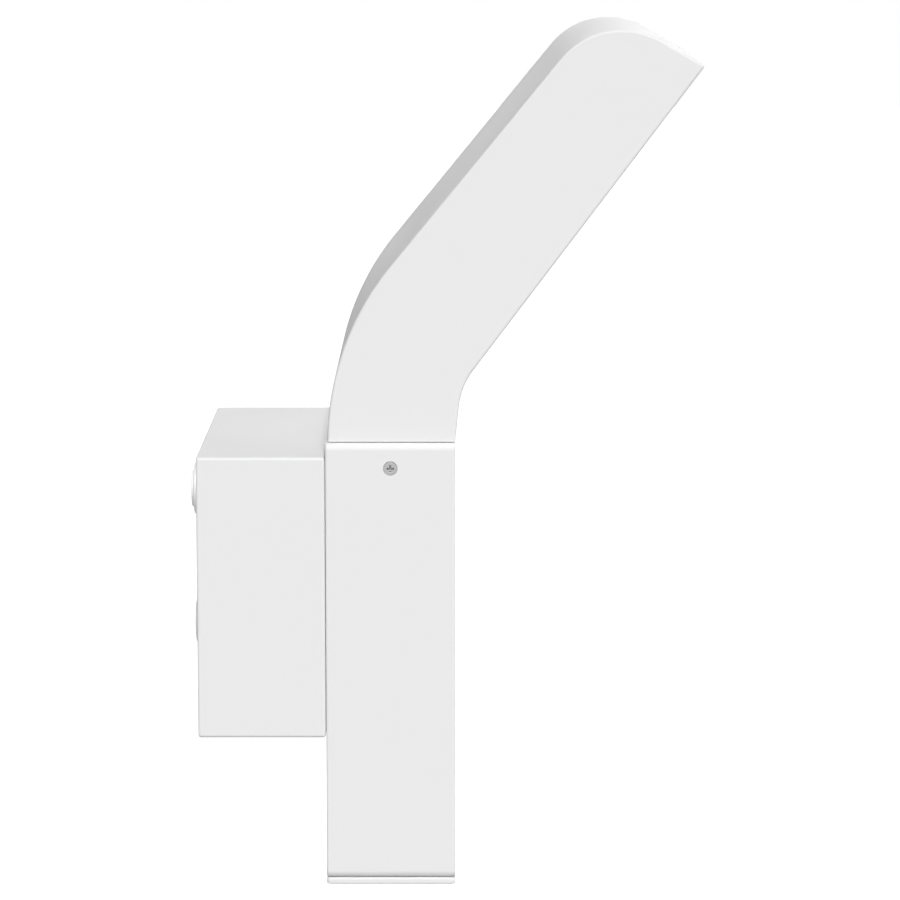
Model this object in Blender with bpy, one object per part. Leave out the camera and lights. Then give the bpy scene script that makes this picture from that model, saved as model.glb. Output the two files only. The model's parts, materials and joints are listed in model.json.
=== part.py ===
"""Outdoor wall light: a rear junction box, an upright post and a bent head that lights the path.

Metres, +Z up. The wall is the plane y = 0 and the light stands out from it along -Y. The origin is
the middle of the wall plate's rear face. In names, u is the distance from the wall, so y = -u.
"""
import math

import bmesh
import bpy
from mathutils import Matrix, Vector

# Fits and clearances
GAP = 0.0003
SCREW_GAP = 0.0002
SEAM_GAP = 0.0004
OVERLAP = 0.0006
OVERRUN = 0.0015

# Rear box
BODY_WIDTH = 0.1000
BOX_DEPTH = 0.0356
BOX_HEIGHT = 0.0797
BOX_WALL = 0.0025
BOX_FRONT_WALL = 0.0030
EDGE_RADIUS = 0.0009

# Wall plate and its seal
PLATE_THICKNESS = 0.0020
WALL_SEAL_WIDTH = 0.0020
WALL_SEAL_THICKNESS = 0.0025
PLATE_CORNER_RADIUS = 0.0030
SLOT_SPACING = 0.0603
SLOT_LENGTH = 0.0140
SLOT_WIDTH = 0.0052
TAB_WIDTH = 0.0120
TAB_REACH = 0.0120
TAB_INSET = 0.0008
TAB_SIDE_INSET = 0.0149

# Cable entries in the wall plate
UPPER_ENTRY_INSET = 0.01165
LOWER_ENTRY_INSET = 0.01875
ENTRY_RADIUS = 0.0076
ENTRY_NOSE = 0.0041
ENTRY_BOSS_RADIUS = 0.0054
ENTRY_BOSS_HEIGHT = 0.0007
ENTRY_FLANGE = 0.0019
ENTRY_FLANGE_THICKNESS = 0.0017
ENTRY_SKIN = 0.0012
ENTRY_BORE_RADIUS = 0.0042
BLANK_RADIUS = 0.0064
BLANK_NOSE = 0.0038

# Cable clamp inside the box
CLAMP_HEIGHT_ABOVE_CENTRE = 0.0075
CLAMP_LENGTH = 0.0260
CLAMP_WIDTH = 0.0070
CLAMP_THICKNESS = 0.0030
CLAMP_FOOT_HEIGHT = 0.0050
CLAMP_FOOT_RADIUS = 0.0031
CLAMP_SCREW_SPREAD = 0.0180
CLAMP_NOTCH_RADIUS = 0.0038

# Terminal block and earth point, on the inside of the box's front wall
TERMINAL_LENGTH = 0.0300
TERMINAL_HEIGHT = 0.0150
TERMINAL_DEPTH = 0.0150
TERMINAL_CENTRE_Z = -0.0140
TERMINAL_FOOT_HEIGHT = 0.0020
TERMINAL_FOOT_RADIUS = 0.0028
TERMINAL_PITCH = 0.0100
TERMINAL_WELL_RADIUS = 0.0021
TERMINAL_WELL_DEPTH = 0.0050
TERMINAL_WELL_DROP = 0.0040
TERMINAL_SCREW_HEIGHT = 0.0030
TERMINAL_PORT_DEPTH = 0.0030
EARTH_X = 0.0290
EARTH_Z = 0.0040
EARTH_BOSS_RADIUS = 0.0040
EARTH_BOSS_HEIGHT = 0.0040
LUG_THICKNESS = 0.0010
LUG_RADIUS = 0.0036
LUG_BARREL_LENGTH = 0.0050
LUG_BARREL_RADIUS = 0.0016

# Passage for the wires between the box and the post
PASSAGE_Z = 0.0110
PASSAGE_RADIUS = 0.0066
BUSH_WALL = 0.0018
BUSH_FLANGE = 0.0020
BUSH_FLANGE_THICKNESS = 0.0014
PASSAGE_SEAL_RADIUS = 0.0125
PASSAGE_SEAL_WIDTH = 0.0020
PASSAGE_SEAL_THICKNESS = 0.0012

# Post
BOX_POST_GAP = 0.00035
POST_DEPTH = 0.0362
POST_RISE = 0.00385
POST_LENGTH = 0.1239
POST_WALL = 0.0028
POST_END_RADIUS = 0.0020
BOX_BOLT_SIDE_INSET = 0.0065
BOX_BOLT_UNDER_SPIGOT = 0.0096
BOX_BOLT_LOWER_INSET = 0.00935
BOX_BOLT_BOSS_RADIUS = 0.0036
BOX_BOLT_BOSS_HEIGHT = 0.0080
CORNER_BLOCK = 0.0084
CORNER_BLOCK_HEIGHT = 0.0120

# Seal rings that run round a plug inside the post
RING_GROOVE_DEPTH = 0.0014
RING_GROOVE_HEIGHT = 0.0020
RING_SETBACK = 0.0010
PLUG_GAP = 0.0004

# Bottom cap
CAP_THICKNESS = 0.0016
CAP_EDGE_RADIUS = 0.0005
CAP_PLUG_HEIGHT = 0.0036
CAP_PLUG_WALL = 0.0090

# Driver inside the post
DRIVER_SIDE_ROOM = 0.0142
DRIVER_FRONT_ROOM = 0.0063
DRIVER_LOWER_ROOM = 0.0132
DRIVER_TOP_Z = -0.0090
DRIVER_CORNER_RADIUS = 0.0020
DRIVER_LUG_WIDTH = 0.0100
DRIVER_LUG_LENGTH = 0.0080
DRIVER_LUG_THICKNESS = 0.0020
DRIVER_FOOT_HEIGHT = 0.0040
DRIVER_FOOT_RADIUS = 0.0036
DRIVER_GLAND_RADIUS = 0.0024
DRIVER_GLAND_HEIGHT = 0.0020
DRIVER_PORT_SPREAD = 0.0240

# Head outline, from the back of its base round to the front
HEAD_INSET = 0.0020
HEAD_BACK_SETBACK = 0.0006
HEAD_BACK_LEAN_DEG = 2.35
HEAD_BACK_RISE = 0.02876
HEAD_SLOPE_DEG = 39.34
HEAD_BACK_LENGTH = 0.1181
HEAD_NOSE_DROP_DEG = 29.9
HEAD_UNDERSIDE_SLOPE_DEG = 37.05
HEAD_FRONT_LEAN_DEG = 5.9
HEAD_FRONT_RISE = 0.0154
HEAD_BEND_RADIUS = 0.0770
HEAD_TOP_RADIUS = 0.0218
HEAD_TIP_RADIUS = 0.0008
HEAD_INNER_BEND_RADIUS = 0.0210
HEAD_EDGE_RADIUS = 0.0006
HEAD_WALL = 0.0025
HEAD_FLOOR = 0.0030

# Spigot under the head, clamped inside the post by the two side screws
SPIGOT_LENGTH = 0.0160
SPIGOT_WALL = 0.0025
SIDE_SCREW_DROP = 0.0070
SIDE_SCREW_BOSS = 0.0040
SIDE_SCREW_BOSS_RADIUS = 0.0036

# Light opening in the head's slanted underside
PANE_LENGTH = 0.0780
PANE_THICKNESS = 0.0018
PANE_SEAL_WIDTH = 0.0034
PANE_SEAL_THICKNESS = 0.0010
BEZEL_RIM = 0.0050
BEZEL_LIP = 0.0020
BEZEL_LIP_THICKNESS = 0.0010
BEZEL_RECESS = 0.0004
REBATE_FLOOR = 0.0020
BEZEL_SIDE_MARGIN = 0.0032
BEZEL_TIP_MARGIN = 0.0059
BEZEL_SCREW_SPREAD_SHARE = 0.72

# Light engine inside the head
LED_DEPTH = 0.0180
BOARD_SIDE_SETBACK = 0.0070
BOARD_END_SETBACK = 0.0020
BOARD_THICKNESS = 0.0016
SPREADER_SIDE_ROOM = 0.0105
SPREADER_END_SETBACK = 0.0060
SPREADER_THICKNESS = 0.0030
SPREADER_FOOT_RADIUS = 0.0033
BOARD_SCREW_INSET = 0.0028
LED_SIZE = 0.0030
LED_THICKNESS = 0.0008
LED_COLUMNS = 4
LED_ROWS = 4
REFLECTOR_WALL = 0.0012
REFLECTOR_FLOOR_SIDE = 0.0080
REFLECTOR_FLOOR_END = 0.0090
REFLECTOR_SHIFT = 0.0045
CONNECTOR_WIDTH = 0.0100
CONNECTOR_LENGTH = 0.0042
CONNECTOR_HEIGHT = 0.0030
CONNECTOR_INSET = 0.0005
SOLDER_GAP = 0.0001

# Screws: shank radius, head radius, head height
SMALL_SCREW_SHANK = 0.0010
SMALL_SCREW_HEAD = 0.00195
SMALL_SCREW_HEAD_HEIGHT = 0.0011
SCREW_SHANK = 0.0014
SCREW_HEAD = 0.0026
SCREW_HEAD_HEIGHT = 0.0014
CROSS_WIDTH_SHARE = 0.22
CROSS_REACH_SHARE = 0.52
CROSS_DEPTH_SHARE = 0.7
SIDE_SCREW_LENGTH = 0.0085
CAP_SCREW_LENGTH = 0.0100
BOX_BOLT_LENGTH = 0.0110
CLAMP_SCREW_LENGTH = 0.0070
SHORT_SCREW_LENGTH = 0.0050
TERMINAL_SCREW_LENGTH = 0.0020
ENGINE_SCREW_GRIP = 0.0050

# Wires
WIRE_RADIUS = 0.0011
LED_WIRE_RADIUS = 0.0008
WIRE_STEP_SHARE = 2.5
WIRE_POINTS_LEAST = 9

# How finely round shapes are divided
CORNER_STEPS = 3
EDGE_STEPS = 2
SCREW_STEPS = 12
ROUND_STEPS = 20
BEND_STEPS = 9
TIGHT_BEND_STEPS = 8
TIP_STEPS = 3
ROUND_ROOM_SHARE = 0.95

# Sizes worked out from the ones above
HALF_WIDTH = BODY_WIDTH / 2
HALF_BOX = BOX_HEIGHT / 2
BOX_INNER_X = HALF_WIDTH - BOX_WALL
BOX_INNER_Z = HALF_BOX - BOX_WALL
BOX_INNER_U = BOX_DEPTH - BOX_FRONT_WALL
PLATE_X = BOX_INNER_X - WALL_SEAL_WIDTH - 2 * GAP
PLATE_Z = BOX_INNER_Z - WALL_SEAL_WIDTH - 2 * GAP
TAB_SPREAD = 2 * (PLATE_X - TAB_SIDE_INSET)
UPPER_ENTRY_HEIGHT = PLATE_Z - UPPER_ENTRY_INSET
LOWER_ENTRY_HEIGHT = LOWER_ENTRY_INSET - PLATE_Z
POST_BACK = BOX_DEPTH + BOX_POST_GAP
POST_FRONT = POST_BACK + POST_DEPTH
POST_MIDDLE = (POST_BACK + POST_FRONT) / 2
POST_TOP = HALF_BOX + POST_RISE
POST_BOTTOM = POST_TOP - POST_LENGTH
POST_INNER_X = HALF_WIDTH - POST_WALL
POST_INNER_BACK = POST_BACK + POST_WALL
POST_INNER_FRONT = POST_FRONT - POST_WALL
PLUG_X = POST_INNER_X - PLUG_GAP
PLUG_HALF_DEPTH = POST_DEPTH / 2 - POST_WALL - PLUG_GAP
HEAD_X = HALF_WIDTH - HEAD_INSET
HEAD_BASE = POST_TOP + SEAM_GAP
SPIGOT_BOTTOM = HEAD_BASE - SPIGOT_LENGTH
BOX_BOLT_X = BOX_INNER_X - BOX_BOLT_SIDE_INSET
BOX_BOLT_UPPER_Z = SPIGOT_BOTTOM - BOX_BOLT_UNDER_SPIGOT
BOX_BOLT_LOWER_Z = BOX_BOLT_LOWER_INSET - BOX_INNER_Z
DRIVER_WIDTH = 2 * (POST_INNER_X - DRIVER_SIDE_ROOM)
DRIVER_HEIGHT = DRIVER_TOP_Z - POST_BOTTOM - DRIVER_LOWER_ROOM
DRIVER_BACK = POST_INNER_BACK + DRIVER_FOOT_HEIGHT + GAP
DRIVER_DEPTH = POST_INNER_FRONT - DRIVER_FRONT_ROOM - DRIVER_BACK
DRIVER_MIDDLE = DRIVER_BACK + DRIVER_DEPTH / 2
DRIVER_PORT_Z = DRIVER_TOP_Z + DRIVER_GLAND_HEIGHT
SIDE_SCREW_Z = POST_TOP - SIDE_SCREW_DROP
PANE_WIDTH = 2 * (HEAD_X - BEZEL_SIDE_MARGIN - BEZEL_RIM - GAP)
BEZEL_HALF_X = PANE_WIDTH / 2 + GAP + BEZEL_RIM
BEZEL_HALF_T = PANE_LENGTH / 2 + GAP + BEZEL_RIM
OPENING_FROM_TIP = BEZEL_HALF_T + BEZEL_TIP_MARGIN
LIP_LOW = -(BEZEL_RECESS + BEZEL_LIP_THICKNESS)
PANE_HIGH = LIP_LOW - GAP
PANE_LOW = PANE_HIGH - PANE_THICKNESS
PANE_SEAL_HIGH = PANE_LOW - GAP
PANE_SEAL_LOW = PANE_SEAL_HIGH - PANE_SEAL_THICKNESS
REBATE_LOW = PANE_SEAL_LOW - GAP
RIM_LOW = REBATE_LOW - REBATE_FLOOR
OPENING_X = PANE_WIDTH / 2 - PANE_SEAL_WIDTH
OPENING_T = PANE_LENGTH / 2 - PANE_SEAL_WIDTH
SPREADER_WIDTH = 2 * (HEAD_X - HEAD_WALL - SPREADER_SIDE_ROOM)
SPREADER_LENGTH = PANE_LENGTH - 2 * SPREADER_END_SETBACK
BOARD_WIDTH = SPREADER_WIDTH - 2 * BOARD_SIDE_SETBACK
BOARD_LENGTH = SPREADER_LENGTH - 2 * BOARD_END_SETBACK
REFLECTOR_FLOOR_WIDTH = BOARD_WIDTH - 2 * REFLECTOR_FLOOR_SIDE
REFLECTOR_FLOOR_LENGTH = BOARD_LENGTH - 2 * REFLECTOR_FLOOR_END
BOARD_LOW = -LED_DEPTH - BOARD_THICKNESS
SPREADER_HIGH = BOARD_LOW - GAP
SPREADER_LOW = SPREADER_HIGH - SPREADER_THICKNESS


def at(x, u, z):
    """A point from its place across the wall, its distance from the wall and its height."""
    return Vector((x, -u, z))


def facing(origin, direction):
    """A frame at origin whose Z axis points along direction."""
    turn = Vector(direction).to_track_quat("Z", "Y").to_matrix().to_4x4()
    return Matrix.Translation(origin) @ turn


def wall_frame(x, u, z):
    """A frame parallel to the wall: X across, Y up, Z away from the wall."""
    return Matrix.Translation(at(x, u, z)) @ Matrix.Rotation(math.radians(90), 4, "X")


def upright_frame(x, u, z):
    """A frame with X across the wall, Y towards the wall and Z up."""
    return Matrix.Translation(at(x, u, z))


TOWARDS_WALL = (0, 1, 0)
DOWN = (0, 0, -1)


def material(name, colour, roughness, metallic=0.0):
    """A Principled material with one colour."""
    made = bpy.data.materials.new(name)
    made.use_nodes = True
    shader = made.node_tree.nodes["Principled BSDF"]
    shader.inputs["Base Color"].default_value = (*colour, 1)
    shader.inputs["Roughness"].default_value = roughness
    shader.inputs["Metallic"].default_value = metallic
    return made


WHITE_PAINT = ((0.82, 0.82, 0.82), 0.42, 0.0)
ZINC_STEEL = ((0.55, 0.56, 0.57), 0.38, 1.0)
STEEL = ((0.50, 0.50, 0.51), 0.32, 1.0)
ALUMINIUM = ((0.70, 0.71, 0.72), 0.40, 1.0)
GREY_RUBBER = ((0.30, 0.30, 0.30), 0.75, 0.0)
BLACK_RUBBER = ((0.03, 0.03, 0.03), 0.70, 0.0)
WHITE_PLASTIC = ((0.85, 0.85, 0.84), 0.40, 0.0)
OPAL_PLASTIC = ((0.90, 0.90, 0.88), 0.30, 0.0)
BROWN_WIRE = ((0.20, 0.08, 0.03), 0.50, 0.0)
BLUE_WIRE = ((0.03, 0.12, 0.45), 0.50, 0.0)
GREEN_WIRE = ((0.15, 0.45, 0.05), 0.50, 0.0)
RED_WIRE = ((0.50, 0.02, 0.02), 0.50, 0.0)
BLACK_WIRE = ((0.02, 0.02, 0.02), 0.50, 0.0)


def child(name, data, group):
    """A scene object that hangs on its group's empty."""
    made = bpy.data.objects.new(name, data)
    made.parent = bpy.data.objects[group]
    bpy.context.scene.collection.objects.link(made)
    return made


def node(name, shape, finish, group):
    """Turn a bmesh into a piece of a group, with a material of its own."""
    mesh = bpy.data.meshes.new(name)
    bmesh.ops.transform(shape, matrix=GROUPS[group].inverted(), verts=shape.verts)
    shape.to_mesh(mesh)
    shape.free()
    mesh.materials.append(material(name, *finish))
    return child(name, mesh, group)


def tool(name, shape):
    """An object that only cuts or adds to another one, and isn't a piece itself."""
    mesh = bpy.data.meshes.new(name)
    shape.to_mesh(mesh)
    shape.free()
    made = bpy.data.objects.new(name, mesh)
    bpy.context.scene.collection.objects.link(made)
    made.hide_render = True
    made.display_type = "WIRE"
    return made


def combine(target, operation, name, shape):
    """Put an exact Boolean on target, with shape as the other solid."""
    boolean = target.modifiers.new(name, "BOOLEAN")
    boolean.operation = operation
    boolean.solver = "EXACT"
    boolean.object = tool(f"{target.name}_{name}", shape)


def cut(target, name, shape):
    """Take a solid away from target."""
    combine(target, "DIFFERENCE", name, shape)


def add(target, name, shape):
    """Join a solid to target."""
    combine(target, "UNION", name, shape)


def round_shading(made, angle=35):
    """Smooth shading that keeps the edges sharper than the angle."""
    made.data.shade_smooth()
    made.data.set_sharp_from_angle(angle=math.radians(angle))


def skin(shape, loops, closed=False):
    """Join loops of equal length with quads: capped at both ends, or closed into a ring."""
    rows = [[shape.verts.new(point) for point in loop] for loop in loops]
    count = len(rows[0])
    last = len(rows) if closed else len(rows) - 1
    faces = []
    for row in range(last):
        here = rows[row]
        there = rows[(row + 1) % len(rows)]
        for i in range(count):
            j = (i + 1) % count
            faces.append(shape.faces.new((here[i], here[j], there[j], there[i])))
    if not closed:
        faces.append(shape.faces.new(rows[0]))
        faces.append(shape.faces.new(rows[-1]))
    bmesh.ops.recalc_face_normals(shape, faces=faces)


def rectangle(frame, half_x, half_y, radius, height, centre_y=0.0):
    """A loop round a rectangle with round corners, at a height above the frame's XY plane."""
    points = []
    corners = ((1, 1, 0), (-1, 1, 90), (-1, -1, 180), (1, -1, 270))
    for side_x, side_y, start in corners:
        for step in range(CORNER_STEPS + 1):
            angle = math.radians(start + 90 * step / CORNER_STEPS)
            x = side_x * (half_x - radius) + radius * math.cos(angle)
            y = centre_y + side_y * (half_y - radius) + radius * math.sin(angle)
            points.append(frame @ Vector((x, y, height)))
    return points


def rounded_slab(shape, frame, half_x, half_y, low, high, radius,
                 low_edge=0.0, high_edge=0.0, edge_in_y=True):
    """A slab with round corners, whose rims at low and high can be rounded too.

    A rim's quarter circle draws the sides in as it climbs. It can leave the Y sides straight."""
    loops = []
    for step in range(EDGE_STEPS if low_edge else 0):
        angle = math.radians(90 * step / EDGE_STEPS)
        inset = low_edge * (1 - math.sin(angle))
        height = low + low_edge * (1 - math.cos(angle))
        loops.append((inset, height))
    loops.append((0.0, low + low_edge))
    loops.append((0.0, high - high_edge))
    for step in range(1, EDGE_STEPS + 1 if high_edge else 0):
        angle = math.radians(90 * step / EDGE_STEPS)
        inset = high_edge * (1 - math.cos(angle))
        height = high - high_edge * (1 - math.sin(angle))
        loops.append((inset, height))
    skin(shape, [rectangle(frame, half_x - inset, half_y - (inset if edge_in_y else 0.0),
                           radius, height) for inset, height in loops])


def ring_slab(shape, frame, outer, inner, low, high, outer_radius, inner_radius):
    """A flat ring between two round-cornered rectangles, given as half sizes."""
    skin(shape, [rectangle(frame, *outer, outer_radius, low),
                 rectangle(frame, *outer, outer_radius, high),
                 rectangle(frame, *inner, inner_radius, high),
                 rectangle(frame, *inner, inner_radius, low)], closed=True)


def block(shape, x, u, z):
    """A plain block between pairs of limits."""
    size = Vector((x[1] - x[0], u[1] - u[0], z[1] - z[0]))
    centre = at((x[0] + x[1]) / 2, (u[0] + u[1]) / 2, (z[0] + z[1]) / 2)
    matrix = Matrix.Translation(centre) @ Matrix.Diagonal((*size, 1))
    bmesh.ops.create_cube(shape, size=1, matrix=matrix)


def local_block(shape, frame, x, y, z):
    """A plain block between pairs of limits in a frame's own axes."""
    size = Vector((x[1] - x[0], y[1] - y[0], z[1] - z[0]))
    centre = Vector(((x[0] + x[1]) / 2, (y[0] + y[1]) / 2, (z[0] + z[1]) / 2))
    matrix = frame @ Matrix.Translation(centre) @ Matrix.Diagonal((*size, 1))
    bmesh.ops.create_cube(shape, size=1, matrix=matrix)


def rod(shape, frame, radius, low, high, steps=SCREW_STEPS):
    """A round bar along the frame's Z axis."""
    place = frame @ Matrix.Translation((0, 0, (low + high) / 2))
    bmesh.ops.create_cone(shape, cap_ends=True, segments=steps, radius1=radius, radius2=radius,
                          depth=high - low, matrix=place)


def turned(shape, frame, profile, steps=ROUND_STEPS):
    """A solid of revolution about the frame's Z axis, from (radius, height) points.

    The profile starts and ends on the axis, or comes back to its start for a ring."""
    ring = profile[0][0] > 0
    points = [(r, h) for r, h in profile]
    circles = []
    for r, h in points:
        if r > 0:
            circles.append([frame @ Vector((r * math.cos(2 * math.pi * i / steps),
                                            r * math.sin(2 * math.pi * i / steps), h))
                            for i in range(steps)])
    if ring:
        skin(shape, circles, closed=True)
        return
    rows = [[shape.verts.new(point) for point in circle] for circle in circles]
    faces = []
    for here, there in zip(rows, rows[1:]):
        for i in range(steps):
            j = (i + 1) % steps
            faces.append(shape.faces.new((here[i], here[j], there[j], there[i])))
    faces.append(shape.faces.new(rows[0]))
    faces.append(shape.faces.new(rows[-1]))
    bmesh.ops.recalc_face_normals(shape, faces=faces)


def countersunk(shape, frame, shank, head, head_height, length, spare=0.0, rise=0.0):
    """A flat-head screw pointing down the frame's Z axis, with its head's top at zero.

    Spare makes it fatter all round, for its hole, and rise carries the head out of the surface."""
    turned(shape, frame, [(0, rise), (head + spare, rise), (head + spare, 0),
                          (shank + spare, -head_height), (shank + spare, -length), (0, -length)],
           SCREW_STEPS)


def pan_head(shape, frame, shank, head, head_height, length):
    """A pan-head screw seated at zero and pointing down the frame's Z axis."""
    crown = head - head_height / 2
    turned(shape, frame, [(0, head_height), (crown, head_height), (head, 0), (shank, 0),
                          (shank, -length), (0, -length)], SCREW_STEPS)


def cross_recess(shape, head, depth):
    """The cross that a driver turns, from a little above a flat head's top."""
    long = head * CROSS_REACH_SHARE
    half = head * CROSS_WIDTH_SHARE / 2
    quarter = [(long, half), (half, half), (half, long)]
    outline = []
    for turn in range(4):
        for x, y in quarter:
            for _ in range(turn):
                x, y = -y, x
            outline.append((x, y))
    skin(shape, [[Vector((x, y, height)) for x, y in outline] for height in (-depth, OVERRUN)])


def screw_mesh(name, kind, sizes, length):
    """A screw pointing down its own Z axis. A flat head, which can be seen, has a cross in it."""
    shank, head, head_height = sizes
    shape = bmesh.new()
    kind(shape, Matrix.Identity(4), shank, head, head_height, length)
    pattern = tool(f"{name}_pattern", shape)
    if kind is countersunk:
        recess = bmesh.new()
        cross_recess(recess, head, head_height * CROSS_DEPTH_SHARE)
        cut(pattern, "cross", recess)
    graph = bpy.context.evaluated_depsgraph_get()
    mesh = bpy.data.meshes.new_from_object(pattern.evaluated_get(graph))
    mesh.name = name
    for boolean in pattern.modifiers:
        bpy.data.objects.remove(boolean.object)
    bpy.data.objects.remove(pattern)
    mesh.materials.clear()
    mesh.materials.append(material(name, *STEEL))
    mesh.shade_smooth()
    mesh.set_sharp_from_angle(angle=math.radians(35))
    return mesh


def screws(names, frames, length, kind, sizes, group):
    """Like screws that share one mesh, each placed by its own frame."""
    mesh = screw_mesh(names[0], kind, sizes, length)
    for name, frame in zip(names, frames):
        made = child(name, mesh, group)
        made.matrix_basis = GROUPS[group].inverted() @ frame


def numbered(name, frames):
    """A name for each frame: name_1, name_2 and so on."""
    return [f"{name}_{i + 1}" for i in range(len(frames))]


SMALL = (SMALL_SCREW_SHANK, SMALL_SCREW_HEAD, SMALL_SCREW_HEAD_HEIGHT)
MEDIUM = (SCREW_SHANK, SCREW_HEAD, SCREW_HEAD_HEIGHT)


def holes(shape, frames, sizes, length):
    """Countersunk clearance holes for a set of flat-head screws."""
    for frame in frames:
        countersunk(shape, frame, *sizes, length + SCREW_GAP, SCREW_GAP, OVERRUN)


def drilled(shape, frames, radius, low, high):
    """Plain round holes along a set of frames."""
    for frame in frames:
        rod(shape, frame, radius, low, high)


def head_corners():
    """The head's six outline corners in (u, z): up the back, over the nose and down the front."""
    def along(start, degrees, distance):
        """A point at a distance in a direction that leans away from the wall by the angle."""
        angle = math.radians(degrees)
        return start + distance * Vector((math.sin(angle), math.cos(angle)))

    base_back = Vector((POST_BACK + HEAD_BACK_SETBACK, HEAD_BASE))
    base_front = Vector((POST_FRONT, HEAD_BASE))
    back = along(base_back, HEAD_BACK_LEAN_DEG, HEAD_BACK_RISE)
    top = along(back, HEAD_SLOPE_DEG, HEAD_BACK_LENGTH)
    inner = along(base_front, HEAD_FRONT_LEAN_DEG, HEAD_FRONT_RISE)
    nose = along(Vector((0, 0)), 90 + HEAD_NOSE_DROP_DEG, 1)
    under = along(Vector((0, 0)), HEAD_UNDERSIDE_SLOPE_DEG, 1)
    gap = inner - top
    reach = (gap.x * under.y - gap.y * under.x) / (nose.x * under.y - nose.y * under.x)
    tip = top + nose * reach
    return [base_back, back, top, tip, inner, base_front]


def drawn_in(corners, insets):
    """The corners where an outline's sides meet once each is drawn in by its own inset."""
    count = len(corners)
    moved = []
    for i in range(count):
        way_in = (corners[i] - corners[i - 1]).normalized()
        way_out = (corners[(i + 1) % count] - corners[i]).normalized()
        normal_in = Vector((way_in.y, -way_in.x))
        normal_out = Vector((way_out.y, -way_out.x))
        turn = normal_in.x * normal_out.y - normal_in.y * normal_out.x
        shift_x = (insets[i - 1] * normal_out.y - insets[i] * normal_in.y) / turn
        shift_y = (normal_in.x * insets[i] - normal_out.x * insets[i - 1]) / turn
        moved.append(corners[i] + Vector((shift_x, shift_y)))
    return moved


def corner_arc(before, corner, after, radius, steps):
    """Points on the arc that rounds a corner, touching both sides and never longer than them."""
    way_in = corner - before
    way_out = after - corner
    room = min(way_in.length, way_out.length) * ROUND_ROOM_SHARE
    way_in.normalize()
    way_out.normalize()
    half = math.acos(-way_in.dot(way_out)) / 2
    radius = min(radius, room * math.tan(half))
    turn = 1 if way_in.x * way_out.y - way_in.y * way_out.x > 0 else -1
    start = corner - way_in * (radius / math.tan(half))
    centre = start - turn * radius * Vector((way_in.y, -way_in.x))
    arm = (start - centre).to_3d()
    points = []
    for step in range(steps + 1):
        angle = turn * (math.pi - 2 * half) * step / steps
        points.append(centre + (Matrix.Rotation(angle, 3, "Z") @ arm).to_2d())
    return points


def head_outline(inset, floor_inset):
    """The head's outline as (u, z) points, drawn in by an inset and by another one at its base."""
    radii = (0, HEAD_BEND_RADIUS - inset, HEAD_TOP_RADIUS - inset,
             max(HEAD_TIP_RADIUS - inset, HEAD_TIP_RADIUS / 4), HEAD_INNER_BEND_RADIUS + inset, 0)
    steps = (0, BEND_STEPS, TIGHT_BEND_STEPS, TIP_STEPS, TIGHT_BEND_STEPS, 0)
    corners = drawn_in(head_corners(), (inset, inset, inset, inset, inset, floor_inset))
    points = []
    for i, corner in enumerate(corners):
        if steps[i]:
            after = corners[(i + 1) % len(corners)]
            points += corner_arc(corners[i - 1], corner, after, radii[i], steps[i])
        else:
            points.append(corner)
    return points


def head_prism(shape, rows, floor_inset):
    """A solid across the head from rows of (inset, place across)."""
    skin(shape, [[at(x, point.x, point.y) for point in head_outline(inset, floor_inset + inset)]
                 for inset, x in rows])


def light_frame():
    """The opening's frame: X across, Y up the slanted underside, Z out of it with the light."""
    tip = head_corners()[3]
    slope = math.radians(HEAD_UNDERSIDE_SLOPE_DEG)
    middle = tip - OPENING_FROM_TIP * Vector((math.sin(slope), math.cos(slope)))
    turn = Matrix.Rotation(math.radians(90) + slope, 4, "X")
    return Matrix.Translation(at(0, middle.x, middle.y)) @ turn


def head_depth(height_along):
    """How deep the head is from its underside to its back, at a height along the opening."""
    _, back, top, _, _, _ = head_corners()
    frame = light_frame()
    start = frame @ Vector((0, height_along, 0))
    inward = frame.to_3x3() @ Vector((0, 0, -1))
    start = Vector((-start.y, start.z))
    inward = Vector((-inward.y, inward.z))
    way = top - back
    gap = back - start
    return (gap.x * way.y - gap.y * way.x) / (inward.x * way.y - inward.y * way.x)


LIGHT = light_frame()
WALL = wall_frame(0, 0, 0)
POST = upright_frame(0, POST_MIDDLE, 0)
GROUPS = {"box_group": WALL, "post_group": POST, "light_group": LIGHT}


def corner_frames(base, half_x, half_y, height):
    """Four frames at the corners of a rectangle, at a height in the base frame."""
    return [base @ Matrix.Translation((side_x * half_x, side_y * half_y, height))
            for side_x in (-1, 1) for side_y in (-1, 1)]


def lock_screw_frames():
    """The two screws that come up through the box's floor into the wall plate's tabs."""
    middle = (PLATE_THICKNESS + TAB_REACH) / 2
    return [facing(at(side * TAB_SPREAD / 2, middle, -HALF_BOX), DOWN) for side in (-1, 1)]


def clamp_frames(height):
    """The cable clamp's two fixings, at a distance from the wall."""
    return [wall_frame(side * CLAMP_SCREW_SPREAD / 2, height, CLAMP_HEIGHT_ABOVE_CENTRE)
            for side in (-1, 1)]


def terminal_fixing_frames(u):
    """The terminal block's two fixings between its poles, facing the wall."""
    return [facing(at(side * TERMINAL_PITCH / 2, u, TERMINAL_CENTRE_Z), TOWARDS_WALL)
            for side in (-1, 1)]


def box_bolt_frames():
    """The four screws that hold the post to the box, driven from inside the box."""
    return [facing(at(side * BOX_BOLT_X, BOX_INNER_U - GAP, z), TOWARDS_WALL)
            for side in (-1, 1) for z in (BOX_BOLT_UPPER_Z, BOX_BOLT_LOWER_Z)]


def side_screw_frame(side):
    """The screw through one side of the post into the head's spigot."""
    return facing(at(side * HALF_WIDTH, POST_MIDDLE, SIDE_SCREW_Z), (side, 0, 0))


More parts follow.
